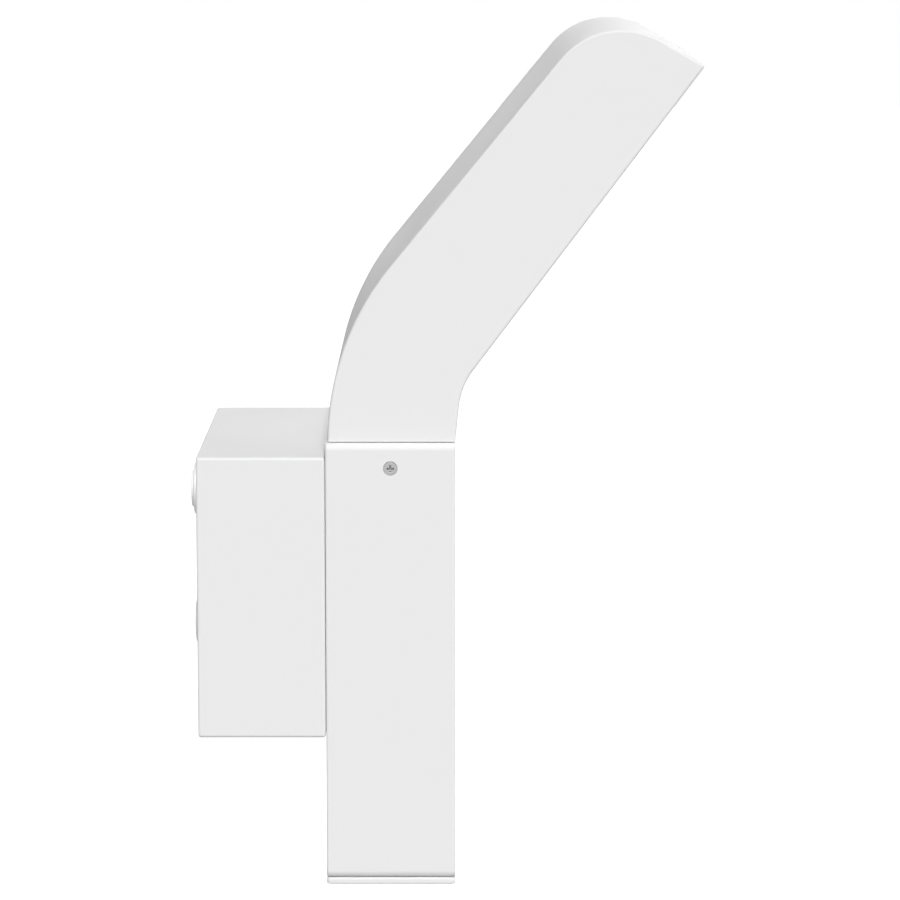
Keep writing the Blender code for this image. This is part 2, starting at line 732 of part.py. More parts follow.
def cap_screw_frames():
    """The four screws up through the bottom cap into the post's corner blocks."""
    half_x = POST_INNER_X - CORNER_BLOCK / 2
    half_u = POST_DEPTH / 2 - POST_WALL - CORNER_BLOCK / 2
    bottom = POST_BOTTOM - GAP - CAP_THICKNESS
    return [facing(at(side_x * half_x, POST_MIDDLE + side_u * half_u, bottom), DOWN)
            for side_x in (-1, 1) for side_u in (-1, 1)]


LOCK_SCREW_LENGTH = HALF_BOX - PLATE_Z + TAB_INSET + PLATE_THICKNESS
TERMINAL_BACK = BOX_INNER_U - TERMINAL_FOOT_HEIGHT - GAP
TERMINAL_FRONT = TERMINAL_BACK - TERMINAL_DEPTH
TERMINAL_TOP = TERMINAL_CENTRE_Z + TERMINAL_HEIGHT / 2
TERMINAL_FIXING_LENGTH = TERMINAL_DEPTH + 2 * GAP + TERMINAL_FOOT_HEIGHT + BOX_FRONT_WALL / 2
EARTH_FACE = BOX_INNER_U - EARTH_BOSS_HEIGHT
PASSAGE_SEAL_BACK = POST_BACK - GAP - PASSAGE_SEAL_THICKNESS


def rear_box():
    """The cast box against the wall: five walls, open to the wall."""
    shape = bmesh.new()
    rounded_slab(shape, WALL, HALF_WIDTH, HALF_BOX, 0, BOX_DEPTH, EDGE_RADIUS,
                 high_edge=EDGE_RADIUS)
    made = node("rear_box", shape, WHITE_PAINT, "box_group")

    cavity = bmesh.new()
    rounded_slab(cavity, WALL, BOX_INNER_X, BOX_INNER_Z, -OVERRUN, BOX_INNER_U, EDGE_RADIUS)
    cut(made, "cavity", cavity)

    bosses = bmesh.new()
    for frame in terminal_fixing_frames(BOX_INNER_U):
        rod(bosses, frame, TERMINAL_FOOT_RADIUS, -OVERLAP, TERMINAL_FOOT_HEIGHT)
    rod(bosses, facing(at(EARTH_X, BOX_INNER_U, EARTH_Z), TOWARDS_WALL),
        EARTH_BOSS_RADIUS, -OVERLAP, EARTH_BOSS_HEIGHT)
    add(made, "bosses", bosses)

    drilling = bmesh.new()
    holes(drilling, lock_screw_frames(), MEDIUM, LOCK_SCREW_LENGTH)
    drilled(drilling, box_bolt_frames(), SCREW_SHANK + SCREW_GAP,
            -BOX_FRONT_WALL - OVERRUN, OVERRUN)
    drilled(drilling, terminal_fixing_frames(BOX_INNER_U), SMALL_SCREW_SHANK + SCREW_GAP,
            -BOX_FRONT_WALL / 2 - SCREW_GAP, TERMINAL_FOOT_HEIGHT + OVERRUN)
    rod(drilling, facing(at(EARTH_X, EARTH_FACE, EARTH_Z), TOWARDS_WALL),
        SMALL_SCREW_SHANK + SCREW_GAP, -SHORT_SCREW_LENGTH, OVERRUN)
    rod(drilling, wall_frame(0, BOX_INNER_U, PASSAGE_Z), PASSAGE_RADIUS + GAP,
        -OVERRUN, BOX_FRONT_WALL + OVERRUN, ROUND_STEPS)
    cut(made, "drilling", drilling)

    groove = bmesh.new()
    inner = PASSAGE_SEAL_RADIUS - GAP
    outer = PASSAGE_SEAL_RADIUS + PASSAGE_SEAL_WIDTH + GAP
    bottom = PASSAGE_SEAL_BACK - GAP
    turned(groove, wall_frame(0, 0, PASSAGE_Z), [(inner, bottom), (outer, bottom),
                                                 (outer, POST_BACK), (inner, POST_BACK)])
    cut(made, "seal_groove", groove)
    round_shading(made)


def wall_plate():
    """The steel plate that is fixed to the wall, with slots, cable entries and bent tabs."""
    shape = bmesh.new()
    rounded_slab(shape, WALL, PLATE_X, PLATE_Z, 0, PLATE_THICKNESS, PLATE_CORNER_RADIUS)
    made = node("wall_plate", shape, ZINC_STEEL, "box_group")

    raised = bmesh.new()
    for side in (-1, 1):
        for top in (-1, 1):
            edge = top * (PLATE_Z - TAB_INSET)
            inner = edge - top * PLATE_THICKNESS
            middle = side * TAB_SPREAD / 2
            block(raised, (middle - TAB_WIDTH / 2, middle + TAB_WIDTH / 2),
                  (PLATE_THICKNESS / 2, TAB_REACH), (min(edge, inner), max(edge, inner)))
    for frame in clamp_frames(PLATE_THICKNESS):
        rod(raised, frame, CLAMP_FOOT_RADIUS, -OVERLAP, CLAMP_FOOT_HEIGHT)
    add(made, "raised", raised)

    drilling = bmesh.new()
    for side in (-1, 1):
        slot = wall_frame(side * SLOT_SPACING / 2, 0, 0)
        rounded_slab(drilling, slot, SLOT_LENGTH / 2, SLOT_WIDTH / 2, -OVERRUN,
                     PLATE_THICKNESS + OVERRUN, SLOT_WIDTH / 2 - GAP)
    for height, radius in ((UPPER_ENTRY_HEIGHT, ENTRY_RADIUS), (LOWER_ENTRY_HEIGHT, BLANK_RADIUS)):
        rod(drilling, wall_frame(0, 0, height), radius + GAP, -OVERRUN,
            PLATE_THICKNESS + OVERRUN, ROUND_STEPS)
    drilled(drilling, lock_screw_frames(), SCREW_SHANK + SCREW_GAP,
            -LOCK_SCREW_LENGTH - OVERRUN, -BOX_WALL)
    drilled(drilling, clamp_frames(PLATE_THICKNESS), SMALL_SCREW_SHANK + SCREW_GAP,
            GAP, CLAMP_FOOT_HEIGHT + OVERRUN)
    cut(made, "drilling", drilling)


def wall_seal():
    """The soft seal in the slit between the wall plate and the box, level with the wall."""
    shape = bmesh.new()
    ring_slab(shape, WALL, (BOX_INNER_X - GAP, BOX_INNER_Z - GAP), (PLATE_X + GAP, PLATE_Z + GAP),
              0, WALL_SEAL_THICKNESS, EDGE_RADIUS, PLATE_CORNER_RADIUS)
    node("wall_seal", shape, BLACK_RUBBER, "box_group")


def entry(name, height, radius, nose, boss_radius, boss_height):
    """A rubber cable entry: its flange is inside the box and its stepped nose is in the wall."""
    inside = PLATE_THICKNESS + GAP
    flange = inside + ENTRY_FLANGE_THICKNESS
    tip = -nose - boss_height
    soft = ENTRY_SKIN / 2
    profile = [(0, tip), (boss_radius, tip), (boss_radius, -nose), (radius - soft, -nose),
               (radius, soft - nose), (radius, inside), (radius + ENTRY_FLANGE, inside),
               (radius + ENTRY_FLANGE, flange), (ENTRY_BORE_RADIUS, flange),
               (ENTRY_BORE_RADIUS, tip + ENTRY_SKIN), (0, tip + ENTRY_SKIN)]
    shape = bmesh.new()
    turned(shape, wall_frame(0, 0, height), profile)
    round_shading(node(name, shape, GREY_RUBBER, "box_group"))


def cable_clamp():
    """The saddle that grips the supply cable just inside the upper entry."""
    low = PLATE_THICKNESS + CLAMP_FOOT_HEIGHT + GAP
    high = low + CLAMP_THICKNESS
    shape = bmesh.new()
    rounded_slab(shape, wall_frame(0, 0, CLAMP_HEIGHT_ABOVE_CENTRE), CLAMP_LENGTH / 2,
                 CLAMP_WIDTH / 2, low, high, EDGE_RADIUS)
    made = node("cable_clamp", shape, WHITE_PLASTIC, "box_group")
    drilling = bmesh.new()
    reach = CLAMP_WIDTH / 2 + OVERRUN
    centre = low + CLAMP_THICKNESS / 2 - CLAMP_NOTCH_RADIUS
    rod(drilling, upright_frame(0, centre, CLAMP_HEIGHT_ABOVE_CENTRE), CLAMP_NOTCH_RADIUS,
        -reach, reach, ROUND_STEPS)
    drilled(drilling, clamp_frames(low), SMALL_SCREW_SHANK + SCREW_GAP,
            -OVERRUN, CLAMP_THICKNESS + OVERRUN)
    cut(made, "drilling", drilling)
    seats = clamp_frames(high + GAP)
    screws(numbered("cable_clamp_screw", seats), seats, CLAMP_SCREW_LENGTH, pan_head, SMALL,
           "box_group")


def pole_places():
    """Where the terminal block's three poles lie across the light."""
    return [(i - 1) * TERMINAL_PITCH for i in range(3)]


def terminal_block():
    """A three-pole terminal on two feet: screws below for the supply and clips above."""
    shape = bmesh.new()
    centre = wall_frame(0, 0, TERMINAL_CENTRE_Z)
    rounded_slab(shape, centre, TERMINAL_LENGTH / 2, TERMINAL_HEIGHT / 2,
                 TERMINAL_FRONT, TERMINAL_BACK, EDGE_RADIUS)
    made = node("terminal_block", shape, WHITE_PLASTIC, "box_group")
    drilling = bmesh.new()
    wells = []
    port_u = (TERMINAL_FRONT + TERMINAL_BACK) / 2
    reach = TERMINAL_HEIGHT / 2
    for x in pole_places():
        wells.append(facing(at(x, TERMINAL_FRONT, TERMINAL_CENTRE_Z - TERMINAL_WELL_DROP),
                            TOWARDS_WALL))
        for side in (-1, 1):
            port = facing(at(x, port_u, TERMINAL_CENTRE_Z + side * reach), (0, 0, side))
            rod(drilling, port, WIRE_RADIUS + GAP, -TERMINAL_PORT_DEPTH - GAP, OVERRUN)
    drilled(drilling, wells, TERMINAL_WELL_RADIUS, -TERMINAL_WELL_DEPTH, OVERRUN)
    fixings = terminal_fixing_frames(TERMINAL_FRONT)
    drilled(drilling, fixings, SMALL_SCREW_SHANK + SCREW_GAP, -TERMINAL_DEPTH - OVERRUN, OVERRUN)
    cut(made, "drilling", drilling)

    seats = [frame @ Matrix.Translation((0, 0, GAP - TERMINAL_WELL_DEPTH + TERMINAL_SCREW_LENGTH))
             for frame in wells]
    pole = (SMALL_SCREW_SHANK, TERMINAL_WELL_RADIUS - SCREW_GAP, TERMINAL_SCREW_HEIGHT)
    screws(numbered("terminal_screw", seats), seats, TERMINAL_SCREW_LENGTH, pan_head, pole,
           "box_group")
    seats = terminal_fixing_frames(TERMINAL_FRONT - GAP)
    screws(numbered("terminal_fixing", seats), seats, TERMINAL_FIXING_LENGTH, pan_head, SMALL,
           "box_group")


def earth_point():
    """The earth screw on its boss and the lug that the earth wire ends in."""
    lug_back = EARTH_FACE - GAP
    lug = facing(at(EARTH_X, lug_back, EARTH_Z), TOWARDS_WALL)
    shape = bmesh.new()
    rod(shape, lug, LUG_RADIUS, 0, LUG_THICKNESS)
    made = node("earth_lug", shape, ZINC_STEEL, "box_group")
    barrel = bmesh.new()
    start = at(EARTH_X - LUG_RADIUS + OVERLAP, lug_back - LUG_BARREL_RADIUS, EARTH_Z)
    rod(barrel, facing(start, (-1, 0, 0)), LUG_BARREL_RADIUS, 0, LUG_BARREL_LENGTH)
    add(made, "barrel", barrel)
    drilling = bmesh.new()
    rod(drilling, lug, SMALL_SCREW_SHANK + SCREW_GAP, -OVERRUN, LUG_THICKNESS + OVERRUN)
    cut(made, "drilling", drilling)
    seat = facing(at(EARTH_X, lug_back - LUG_THICKNESS - GAP, EARTH_Z), TOWARDS_WALL)
    screws(["earth_screw"], [seat], SHORT_SCREW_LENGTH, pan_head, SMALL, "box_group")


def wire_passage():
    """The bush that lines the wires' way into the post, and the seal ring round it."""
    low = BOX_INNER_U - GAP
    high = POST_INNER_BACK + GAP
    bore = PASSAGE_RADIUS - BUSH_WALL
    flange = PASSAGE_RADIUS + GAP + BUSH_FLANGE
    profile = [(bore, low - BUSH_FLANGE_THICKNESS), (flange, low - BUSH_FLANGE_THICKNESS),
               (flange, low), (PASSAGE_RADIUS, low), (PASSAGE_RADIUS, high), (flange, high),
               (flange, high + BUSH_FLANGE_THICKNESS), (bore, high + BUSH_FLANGE_THICKNESS)]
    shape = bmesh.new()
    turned(shape, wall_frame(0, 0, PASSAGE_Z), profile)
    round_shading(node("passage_bush", shape, BLACK_RUBBER, "box_group"))

    inner = PASSAGE_SEAL_RADIUS
    outer = inner + PASSAGE_SEAL_WIDTH
    back = PASSAGE_SEAL_BACK
    front = POST_BACK - GAP
    shape = bmesh.new()
    turned(shape, wall_frame(0, 0, PASSAGE_Z),
           [(inner, back), (outer, back), (outer, front), (inner, front)])
    round_shading(node("passage_seal", shape, BLACK_RUBBER, "box_group"))


def driver_foot_frames(u):
    """The driver's two fixings on the post's back wall, above and below its case."""
    upper = DRIVER_TOP_Z + DRIVER_LUG_LENGTH / 2
    lower = DRIVER_TOP_Z - DRIVER_HEIGHT - DRIVER_LUG_LENGTH / 2
    return [wall_frame(0, u, z) for z in (upper, lower)]


def post_shell():
    """The upright housing: a tube with round end edges on its two sides, and bosses inside."""
    middle = (POST_TOP + POST_BOTTOM) / 2
    shape = bmesh.new()
    rounded_slab(shape, wall_frame(0, 0, middle), HALF_WIDTH, POST_LENGTH / 2, POST_BACK,
                 POST_FRONT, POST_END_RADIUS, EDGE_RADIUS, EDGE_RADIUS, edge_in_y=False)
    made = node("post_shell", shape, WHITE_PAINT, "post_group")

    bore = bmesh.new()
    block(bore, (-POST_INNER_X, POST_INNER_X), (POST_INNER_BACK, POST_INNER_FRONT),
          (POST_BOTTOM - OVERRUN, POST_TOP + OVERRUN))
    cut(made, "bore", bore)

    bosses = bmesh.new()
    through = BOX_INNER_U - POST_INNER_BACK
    for frame in box_bolt_frames():
        rod(bosses, frame, BOX_BOLT_BOSS_RADIUS, through - BOX_BOLT_BOSS_HEIGHT, through + OVERLAP)
    for frame in driver_foot_frames(POST_INNER_BACK):
        rod(bosses, frame, DRIVER_FOOT_RADIUS, -OVERLAP, DRIVER_FOOT_HEIGHT)
    low = POST_BOTTOM + CAP_PLUG_HEIGHT
    for side_x in (-1, 1):
        inner_x = side_x * (POST_INNER_X - CORNER_BLOCK)
        outer_x = side_x * (POST_INNER_X + OVERLAP)
        x = (min(inner_x, outer_x), max(inner_x, outer_x))
        z = (low, low + CORNER_BLOCK_HEIGHT)
        block(bosses, x, (POST_INNER_BACK - OVERLAP, POST_INNER_BACK + CORNER_BLOCK), z)
        block(bosses, x, (POST_INNER_FRONT - CORNER_BLOCK, POST_INNER_FRONT + OVERLAP), z)
    add(made, "bosses", bosses)

    drilling = bmesh.new()
    for side in (-1, 1):
        holes(drilling, [side_screw_frame(side)], SMALL, POST_WALL + OVERRUN)
    drilled(drilling, box_bolt_frames(), SCREW_SHANK + SCREW_GAP, -BOX_BOLT_LENGTH - GAP, 0)
    drilled(drilling, cap_screw_frames(), SCREW_SHANK + SCREW_GAP, -CAP_SCREW_LENGTH - GAP, 0)
    drilled(drilling, driver_foot_frames(POST_INNER_BACK), SMALL_SCREW_SHANK + SCREW_GAP,
            -POST_WALL / 3, DRIVER_FOOT_HEIGHT + OVERRUN)
    rod(drilling, wall_frame(0, POST_BACK, PASSAGE_Z), PASSAGE_RADIUS + GAP,
        -OVERRUN, POST_WALL + OVERRUN, ROUND_STEPS)
    cut(made, "drilling", drilling)
    round_shading(made)


def ring_groove(shape, low, high):
    """A square groove round a plug that fits inside the post."""
    outer = (PLUG_X + OVERRUN, PLUG_HALF_DEPTH + OVERRUN)
    inner = (PLUG_X - RING_GROOVE_DEPTH, PLUG_HALF_DEPTH - RING_GROOVE_DEPTH)
    ring_slab(shape, POST, outer, inner, low, high, EDGE_RADIUS, EDGE_RADIUS)


def ring_seal(name, low, high):
    """The rubber ring in a plug's groove, reaching the post's inner wall."""
    reach = PLUG_GAP - SCREW_GAP
    outer = (PLUG_X + reach, PLUG_HALF_DEPTH + reach)
    inner = (PLUG_X - RING_GROOVE_DEPTH + GAP, PLUG_HALF_DEPTH - RING_GROOVE_DEPTH + GAP)
    shape = bmesh.new()
    ring_slab(shape, POST, outer, inner, low + GAP, high - GAP, EDGE_RADIUS, EDGE_RADIUS)
    node(name, shape, BLACK_RUBBER, "post_group")


def bottom_cap():
    """The cap under the post, with a plug inside the post, a seal ring and four screws."""
    top = POST_BOTTOM - GAP
    shape = bmesh.new()
    rounded_slab(shape, POST, HALF_WIDTH, POST_DEPTH / 2, top - CAP_THICKNESS, top, EDGE_RADIUS,
                 CAP_EDGE_RADIUS, CAP_EDGE_RADIUS)
    made = node("bottom_cap", shape, WHITE_PAINT, "post_group")
    plug = bmesh.new()
    rounded_slab(plug, POST, PLUG_X, PLUG_HALF_DEPTH, top - OVERLAP, top + CAP_PLUG_HEIGHT,
                 EDGE_RADIUS)
    add(made, "plug", plug)
    drilling = bmesh.new()
    low = top + RING_SETBACK / 2
    ring_groove(drilling, low, low + RING_GROOVE_HEIGHT)
    rounded_slab(drilling, POST, PLUG_X - CAP_PLUG_WALL, PLUG_HALF_DEPTH - CAP_PLUG_WALL, top,
                 top + CAP_PLUG_HEIGHT + OVERRUN, EDGE_RADIUS)
    holes(drilling, cap_screw_frames(), MEDIUM, CAP_SCREW_LENGTH)
    cut(made, "drilling", drilling)
    round_shading(made)
    ring_seal("bottom_cap_seal", low, low + RING_GROOVE_HEIGHT)
    seats = cap_screw_frames()
    screws(numbered("bottom_cap_screw", seats), seats, CAP_SCREW_LENGTH, countersunk, MEDIUM,
           "post_group")


def driver():
    """The sealed LED driver in the post, with a lug above and below and a collar for each lead."""
    centre = DRIVER_TOP_Z - DRIVER_HEIGHT / 2
    frame = wall_frame(0, 0, centre)
    shape = bmesh.new()
    rounded_slab(shape, frame, DRIVER_WIDTH / 2, DRIVER_HEIGHT / 2, DRIVER_BACK,
                 DRIVER_BACK + DRIVER_DEPTH, DRIVER_CORNER_RADIUS, EDGE_RADIUS, EDGE_RADIUS)
    made = node("led_driver", shape, WHITE_PLASTIC, "post_group")
    lugs = bmesh.new()
    rounded_slab(lugs, frame, DRIVER_LUG_WIDTH / 2, DRIVER_HEIGHT / 2 + DRIVER_LUG_LENGTH,
                 DRIVER_BACK, DRIVER_BACK + DRIVER_LUG_THICKNESS, EDGE_RADIUS)
    for side in (-1, 1):
        port = upright_frame(side * DRIVER_PORT_SPREAD / 2, DRIVER_MIDDLE, DRIVER_TOP_Z)
        rounded_slab(lugs, port, 2 * DRIVER_GLAND_RADIUS, DRIVER_GLAND_RADIUS, -OVERLAP,
                     DRIVER_GLAND_HEIGHT, EDGE_RADIUS)
    add(made, "lugs", lugs)
    drilling = bmesh.new()
    drilled(drilling, driver_foot_frames(DRIVER_BACK), SMALL_SCREW_SHANK + SCREW_GAP,
            -OVERRUN, DRIVER_LUG_THICKNESS + OVERRUN)
    cut(made, "drilling", drilling)
    seats = driver_foot_frames(DRIVER_BACK + DRIVER_LUG_THICKNESS + GAP)
    screws(numbered("led_driver_screw", seats), seats, SHORT_SCREW_LENGTH, pan_head, SMALL,
           "post_group")


def engine_frames(height):
    """The four screws that go through the board and the heat spreader into the head's feet."""
    half_x = BOARD_WIDTH / 2 - BOARD_SCREW_INSET
    half_y = BOARD_LENGTH / 2 - BOARD_SCREW_INSET
    return corner_frames(LIGHT, half_x, half_y, height)


def bezel_frames(height):
    """The four screws in the bezel's long rims."""
    half_x = PANE_WIDTH / 2 + GAP + BEZEL_RIM / 2
    half_y = PANE_LENGTH / 2 * BEZEL_SCREW_SPREAD_SHARE
    return corner_frames(LIGHT, half_x, half_y, height)


BEZEL_SCREW_LENGTH = -RIM_LOW - BEZEL_RECESS
SPREADER_FOOT_TOP = SPREADER_LOW - GAP
SPIGOT_REACH = HALF_WIDTH - PLUG_X + SPIGOT_WALL
NECK_RING_HIGH = POST_TOP - RING_SETBACK
ENGINE_SCREW_LENGTH = ENGINE_SCREW_GRIP + GAP - LED_DEPTH - SPREADER_FOOT_TOP


def head_shell():
    """The bent head: a closed casting with a spigot below and the light opening underneath."""
    rows = []
    for step in range(EDGE_STEPS + 1):
        angle = math.radians(90 * step / EDGE_STEPS)
        rows.append((HEAD_EDGE_RADIUS * (1 - math.sin(angle)),
                     HEAD_X - HEAD_EDGE_RADIUS * (1 - math.cos(angle))))
    rows = [(inset, -x) for inset, x in rows] + [(inset, x) for inset, x in reversed(rows)]
    shape = bmesh.new()
    head_prism(shape, rows, 0)
    made = node("head_shell", shape, WHITE_PAINT, "post_group")

    cavity = bmesh.new()
    inner_x = HEAD_X - HEAD_WALL
    head_prism(cavity, [(HEAD_WALL, -inner_x), (HEAD_WALL, inner_x)], HEAD_FLOOR - HEAD_WALL)
    cut(made, "cavity", cavity)
    add(made, "bosses", head_bosses())
    cut(made, "openings", head_openings())
    add(made, "clamp_bosses", head_clamp_bosses())
    cut(made, "grooves", head_grooves())
    round_shading(made)


def head_bosses():
    """The rim round the light opening, four feet on the back wall and the solid spigot."""
    shape = bmesh.new()
    ring_slab(shape, LIGHT, (HEAD_X - HEAD_WALL / 2, OPENING_FROM_TIP - HEAD_WALL / 2),
              (OPENING_X, OPENING_T), RIM_LOW, -HEAD_WALL / 2, EDGE_RADIUS, EDGE_RADIUS)
    for frame in engine_frames(0):
        height_along = (LIGHT.inverted() @ frame.translation).y
        rod(shape, frame, SPREADER_FOOT_RADIUS, HEAD_WALL / 2 - head_depth(height_along),
            SPREADER_FOOT_TOP)
    rounded_slab(shape, POST, PLUG_X, PLUG_HALF_DEPTH, SPIGOT_BOTTOM, HEAD_BASE + HEAD_FLOOR / 2,
                 EDGE_RADIUS)
    return shape


def head_openings():
    """The way through the spigot, the bezel's rebate and the holes in the feet."""
    shape = bmesh.new()
    rounded_slab(shape, POST, PLUG_X - SPIGOT_WALL, PLUG_HALF_DEPTH - SPIGOT_WALL,
                 SPIGOT_BOTTOM - OVERRUN, HEAD_BASE + HEAD_FLOOR + OVERRUN, EDGE_RADIUS)
    rounded_slab(shape, LIGHT, BEZEL_HALF_X + GAP, BEZEL_HALF_T + GAP, REBATE_LOW, OVERRUN,
                 EDGE_RADIUS)
    drilled(shape, engine_frames(SPREADER_FOOT_TOP), SMALL_SCREW_SHANK + SCREW_GAP,
            -ENGINE_SCREW_GRIP - GAP, OVERRUN)
    return shape


def head_clamp_bosses():
    """The two bosses inside the spigot that the side screws go into."""
    shape = bmesh.new()
    for side in (-1, 1):
        rod(shape, side_screw_frame(side), SIDE_SCREW_BOSS_RADIUS,
            -SPIGOT_REACH - SIDE_SCREW_BOSS, -SPIGOT_REACH + OVERLAP)
    return shape


def head_grooves():
    """The seal's groove round the spigot and the holes for the side and bezel screws."""
    shape = bmesh.new()
    for side in (-1, 1):
        rod(shape, side_screw_frame(side), SMALL_SCREW_SHANK + SCREW_GAP,
            -SPIGOT_REACH - SIDE_SCREW_BOSS - OVERRUN, -POST_WALL)
    ring_groove(shape, NECK_RING_HIGH - RING_GROOVE_HEIGHT, NECK_RING_HIGH)
    drilled(shape, bezel_frames(RIM_LOW), SMALL_SCREW_SHANK + SCREW_GAP,
            -OVERRUN, REBATE_FLOOR + OVERRUN)
    return shape


def side_screws():
    """One flat-head screw on each side of the post, just under the seam."""
    for side, name in ((-1, "side_screw_left"), (1, "side_screw_right")):
        screws([name], [side_screw_frame(side)], SIDE_SCREW_LENGTH, countersunk, SMALL,
               "post_group")


def bezel_and_pane():
    """The opal pane on its seal in the rebate, held by a bezel with four screws."""
    low = REBATE_LOW + GAP
    high = -BEZEL_RECESS
    window = (PANE_WIDTH / 2 - BEZEL_LIP, PANE_LENGTH / 2 - BEZEL_LIP)
    pocket = (PANE_WIDTH / 2 + GAP, PANE_LENGTH / 2 + GAP)
    outer = (BEZEL_HALF_X, BEZEL_HALF_T)
    shape = bmesh.new()
    loops = [(outer, low), (outer, high), (window, high), (window, LIP_LOW),
             (pocket, LIP_LOW), (pocket, low)]
    skin(shape, [rectangle(LIGHT, *half, EDGE_RADIUS, height) for half, height in loops],
         closed=True)
    made = node("bezel", shape, WHITE_PAINT, "light_group")
    drilling = bmesh.new()
    holes(drilling, bezel_frames(high), SMALL, BEZEL_SCREW_LENGTH)
    cut(made, "drilling", drilling)
    seats = bezel_frames(high)
    screws(numbered("bezel_screw", seats), seats, BEZEL_SCREW_LENGTH, countersunk, SMALL,
           "light_group")

    shape = bmesh.new()
    rounded_slab(shape, LIGHT, PANE_WIDTH / 2, PANE_LENGTH / 2, PANE_LOW, PANE_HIGH, EDGE_RADIUS)
    node("opal_pane", shape, OPAL_PLASTIC, "light_group")

    shape = bmesh.new()
    ring_slab(shape, LIGHT, (PANE_WIDTH / 2, PANE_LENGTH / 2), (OPENING_X, OPENING_T),
              PANE_SEAL_LOW, PANE_SEAL_HIGH, EDGE_RADIUS, EDGE_RADIUS)
    node("pane_seal", shape, BLACK_RUBBER, "light_group")


def heat_spreader():
    """The plate that carries the LED board on the head's feet and spreads its heat."""
    shape = bmesh.new()
    rounded_slab(shape, LIGHT, SPREADER_WIDTH / 2, SPREADER_LENGTH / 2, SPREADER_LOW,
                 SPREADER_HIGH, EDGE_RADIUS)
    made = node("heat_spreader", shape, ALUMINIUM, "light_group")
    drilling = bmesh.new()
    drilled(drilling, engine_frames(SPREADER_HIGH), SMALL_SCREW_SHANK + SCREW_GAP,
            -SPREADER_THICKNESS - OVERRUN, OVERRUN)
    cut(made, "drilling", drilling)


def led_board():
    """The board with its rows of LEDs, and the four screws that hold it and the spreader."""
    shape = bmesh.new()
    rounded_slab(shape, LIGHT, BOARD_WIDTH / 2, BOARD_LENGTH / 2, BOARD_LOW, -LED_DEPTH,
                 EDGE_RADIUS)
    made = node("led_board", shape, WHITE_PLASTIC, "light_group")
    leds = bmesh.new()
    for column in range(LED_COLUMNS):
        for row in range(LED_ROWS):
            x = ((column + 0.5) / LED_COLUMNS - 0.5) * REFLECTOR_FLOOR_WIDTH
            y = ((row + 0.5) / LED_ROWS - 0.5) * REFLECTOR_FLOOR_LENGTH + REFLECTOR_SHIFT
            local_block(leds, LIGHT, (x - LED_SIZE / 2, x + LED_SIZE / 2),
                        (y - LED_SIZE / 2, y + LED_SIZE / 2),
                        (-LED_DEPTH - BOARD_THICKNESS / 2, LED_THICKNESS - LED_DEPTH))
    add(made, "leds", leds)
    drilling = bmesh.new()
    drilled(drilling, engine_frames(-LED_DEPTH), SMALL_SCREW_SHANK + SCREW_GAP,
            -BOARD_THICKNESS - OVERRUN, OVERRUN)
    cut(made, "drilling", drilling)
    seats = engine_frames(-LED_DEPTH + GAP)
    screws(numbered("engine_screw", seats), seats, ENGINE_SCREW_LENGTH, pan_head, SMALL,
           "light_group")


def reflector():
    """The white funnel from the LEDs out to the pane."""
    low = GAP - LED_DEPTH
    high = PANE_LOW - GAP
    floor = (REFLECTOR_FLOOR_WIDTH / 2, REFLECTOR_FLOOR_LENGTH / 2)
    mouth = (OPENING_X - GAP, OPENING_T - GAP)
    wall = REFLECTOR_WALL
    loops = [(floor[0] + wall, floor[1] + wall, low, REFLECTOR_SHIFT), (*mouth, high, 0),
             (mouth[0] - wall, mouth[1] - wall, high, 0), (*floor, low, REFLECTOR_SHIFT)]
    shape = bmesh.new()
    skin(shape, [rectangle(LIGHT, half_x, half_y, EDGE_RADIUS, height, shift)
                 for half_x, half_y, height, shift in loops], closed=True)
    node("reflector", shape, WHITE_PLASTIC, "light_group")


def led_connector():
    """The plug-in connector at the board's lower end, where the two wires arrive."""
    shape = bmesh.new()
    y = CONNECTOR_INSET - BOARD_LENGTH / 2
    base = SOLDER_GAP - LED_DEPTH
    local_block(shape, LIGHT, (-CONNECTOR_WIDTH / 2, CONNECTOR_WIDTH / 2),
                (y, y + CONNECTOR_LENGTH), (base, base + CONNECTOR_HEIGHT))
    node("led_connector", shape, WHITE_PLASTIC, "light_group")


def smooth_route(points, step):
    """Points about a step apart on a smooth curve through a route's own points."""
    length = sum((there - here).length for here, there in zip(points, points[1:]))
    count = max(WIRE_POINTS_LEAST, math.ceil(length / step))
    ends = [2 * points[0] - points[1], *points, 2 * points[-1] - points[-2]]
    spans = len(points) - 1
    route = []
    for i in range(count):
        place = i / (count - 1) * spans
        span = min(int(place), spans - 1)
        t = place - span
        a, b, c, d = ends[span:span + 4]
        route.append(0.5 * (2 * b + (c - a) * t + (2 * a - 5 * b + 4 * c - d) * t ** 2
                            + (3 * b - a - 3 * c + d) * t ** 3))
    return route


def wire(name, points, radius, finish):
    """An insulated wire held by the light all the way, as a round tube along its route."""
    curve = bpy.data.curves.new(name, "CURVE")
    curve.dimensions = "3D"
    curve.bevel_depth = radius
    curve.bevel_resolution = 2
    curve.use_fill_caps = True
    route = smooth_route([Vector(point) for point in points], 2 * radius * WIRE_STEP_SHARE)
    spline = curve.splines.new("POLY")
    spline.points.add(len(route) - 1)
    for place, point in zip(spline.points, route):
        place.co = (*point, 1)
    curve.materials.append(material(name, *finish))
    made = bpy.data.objects.new(name, curve)
    bpy.context.scene.collection.objects.link(made)


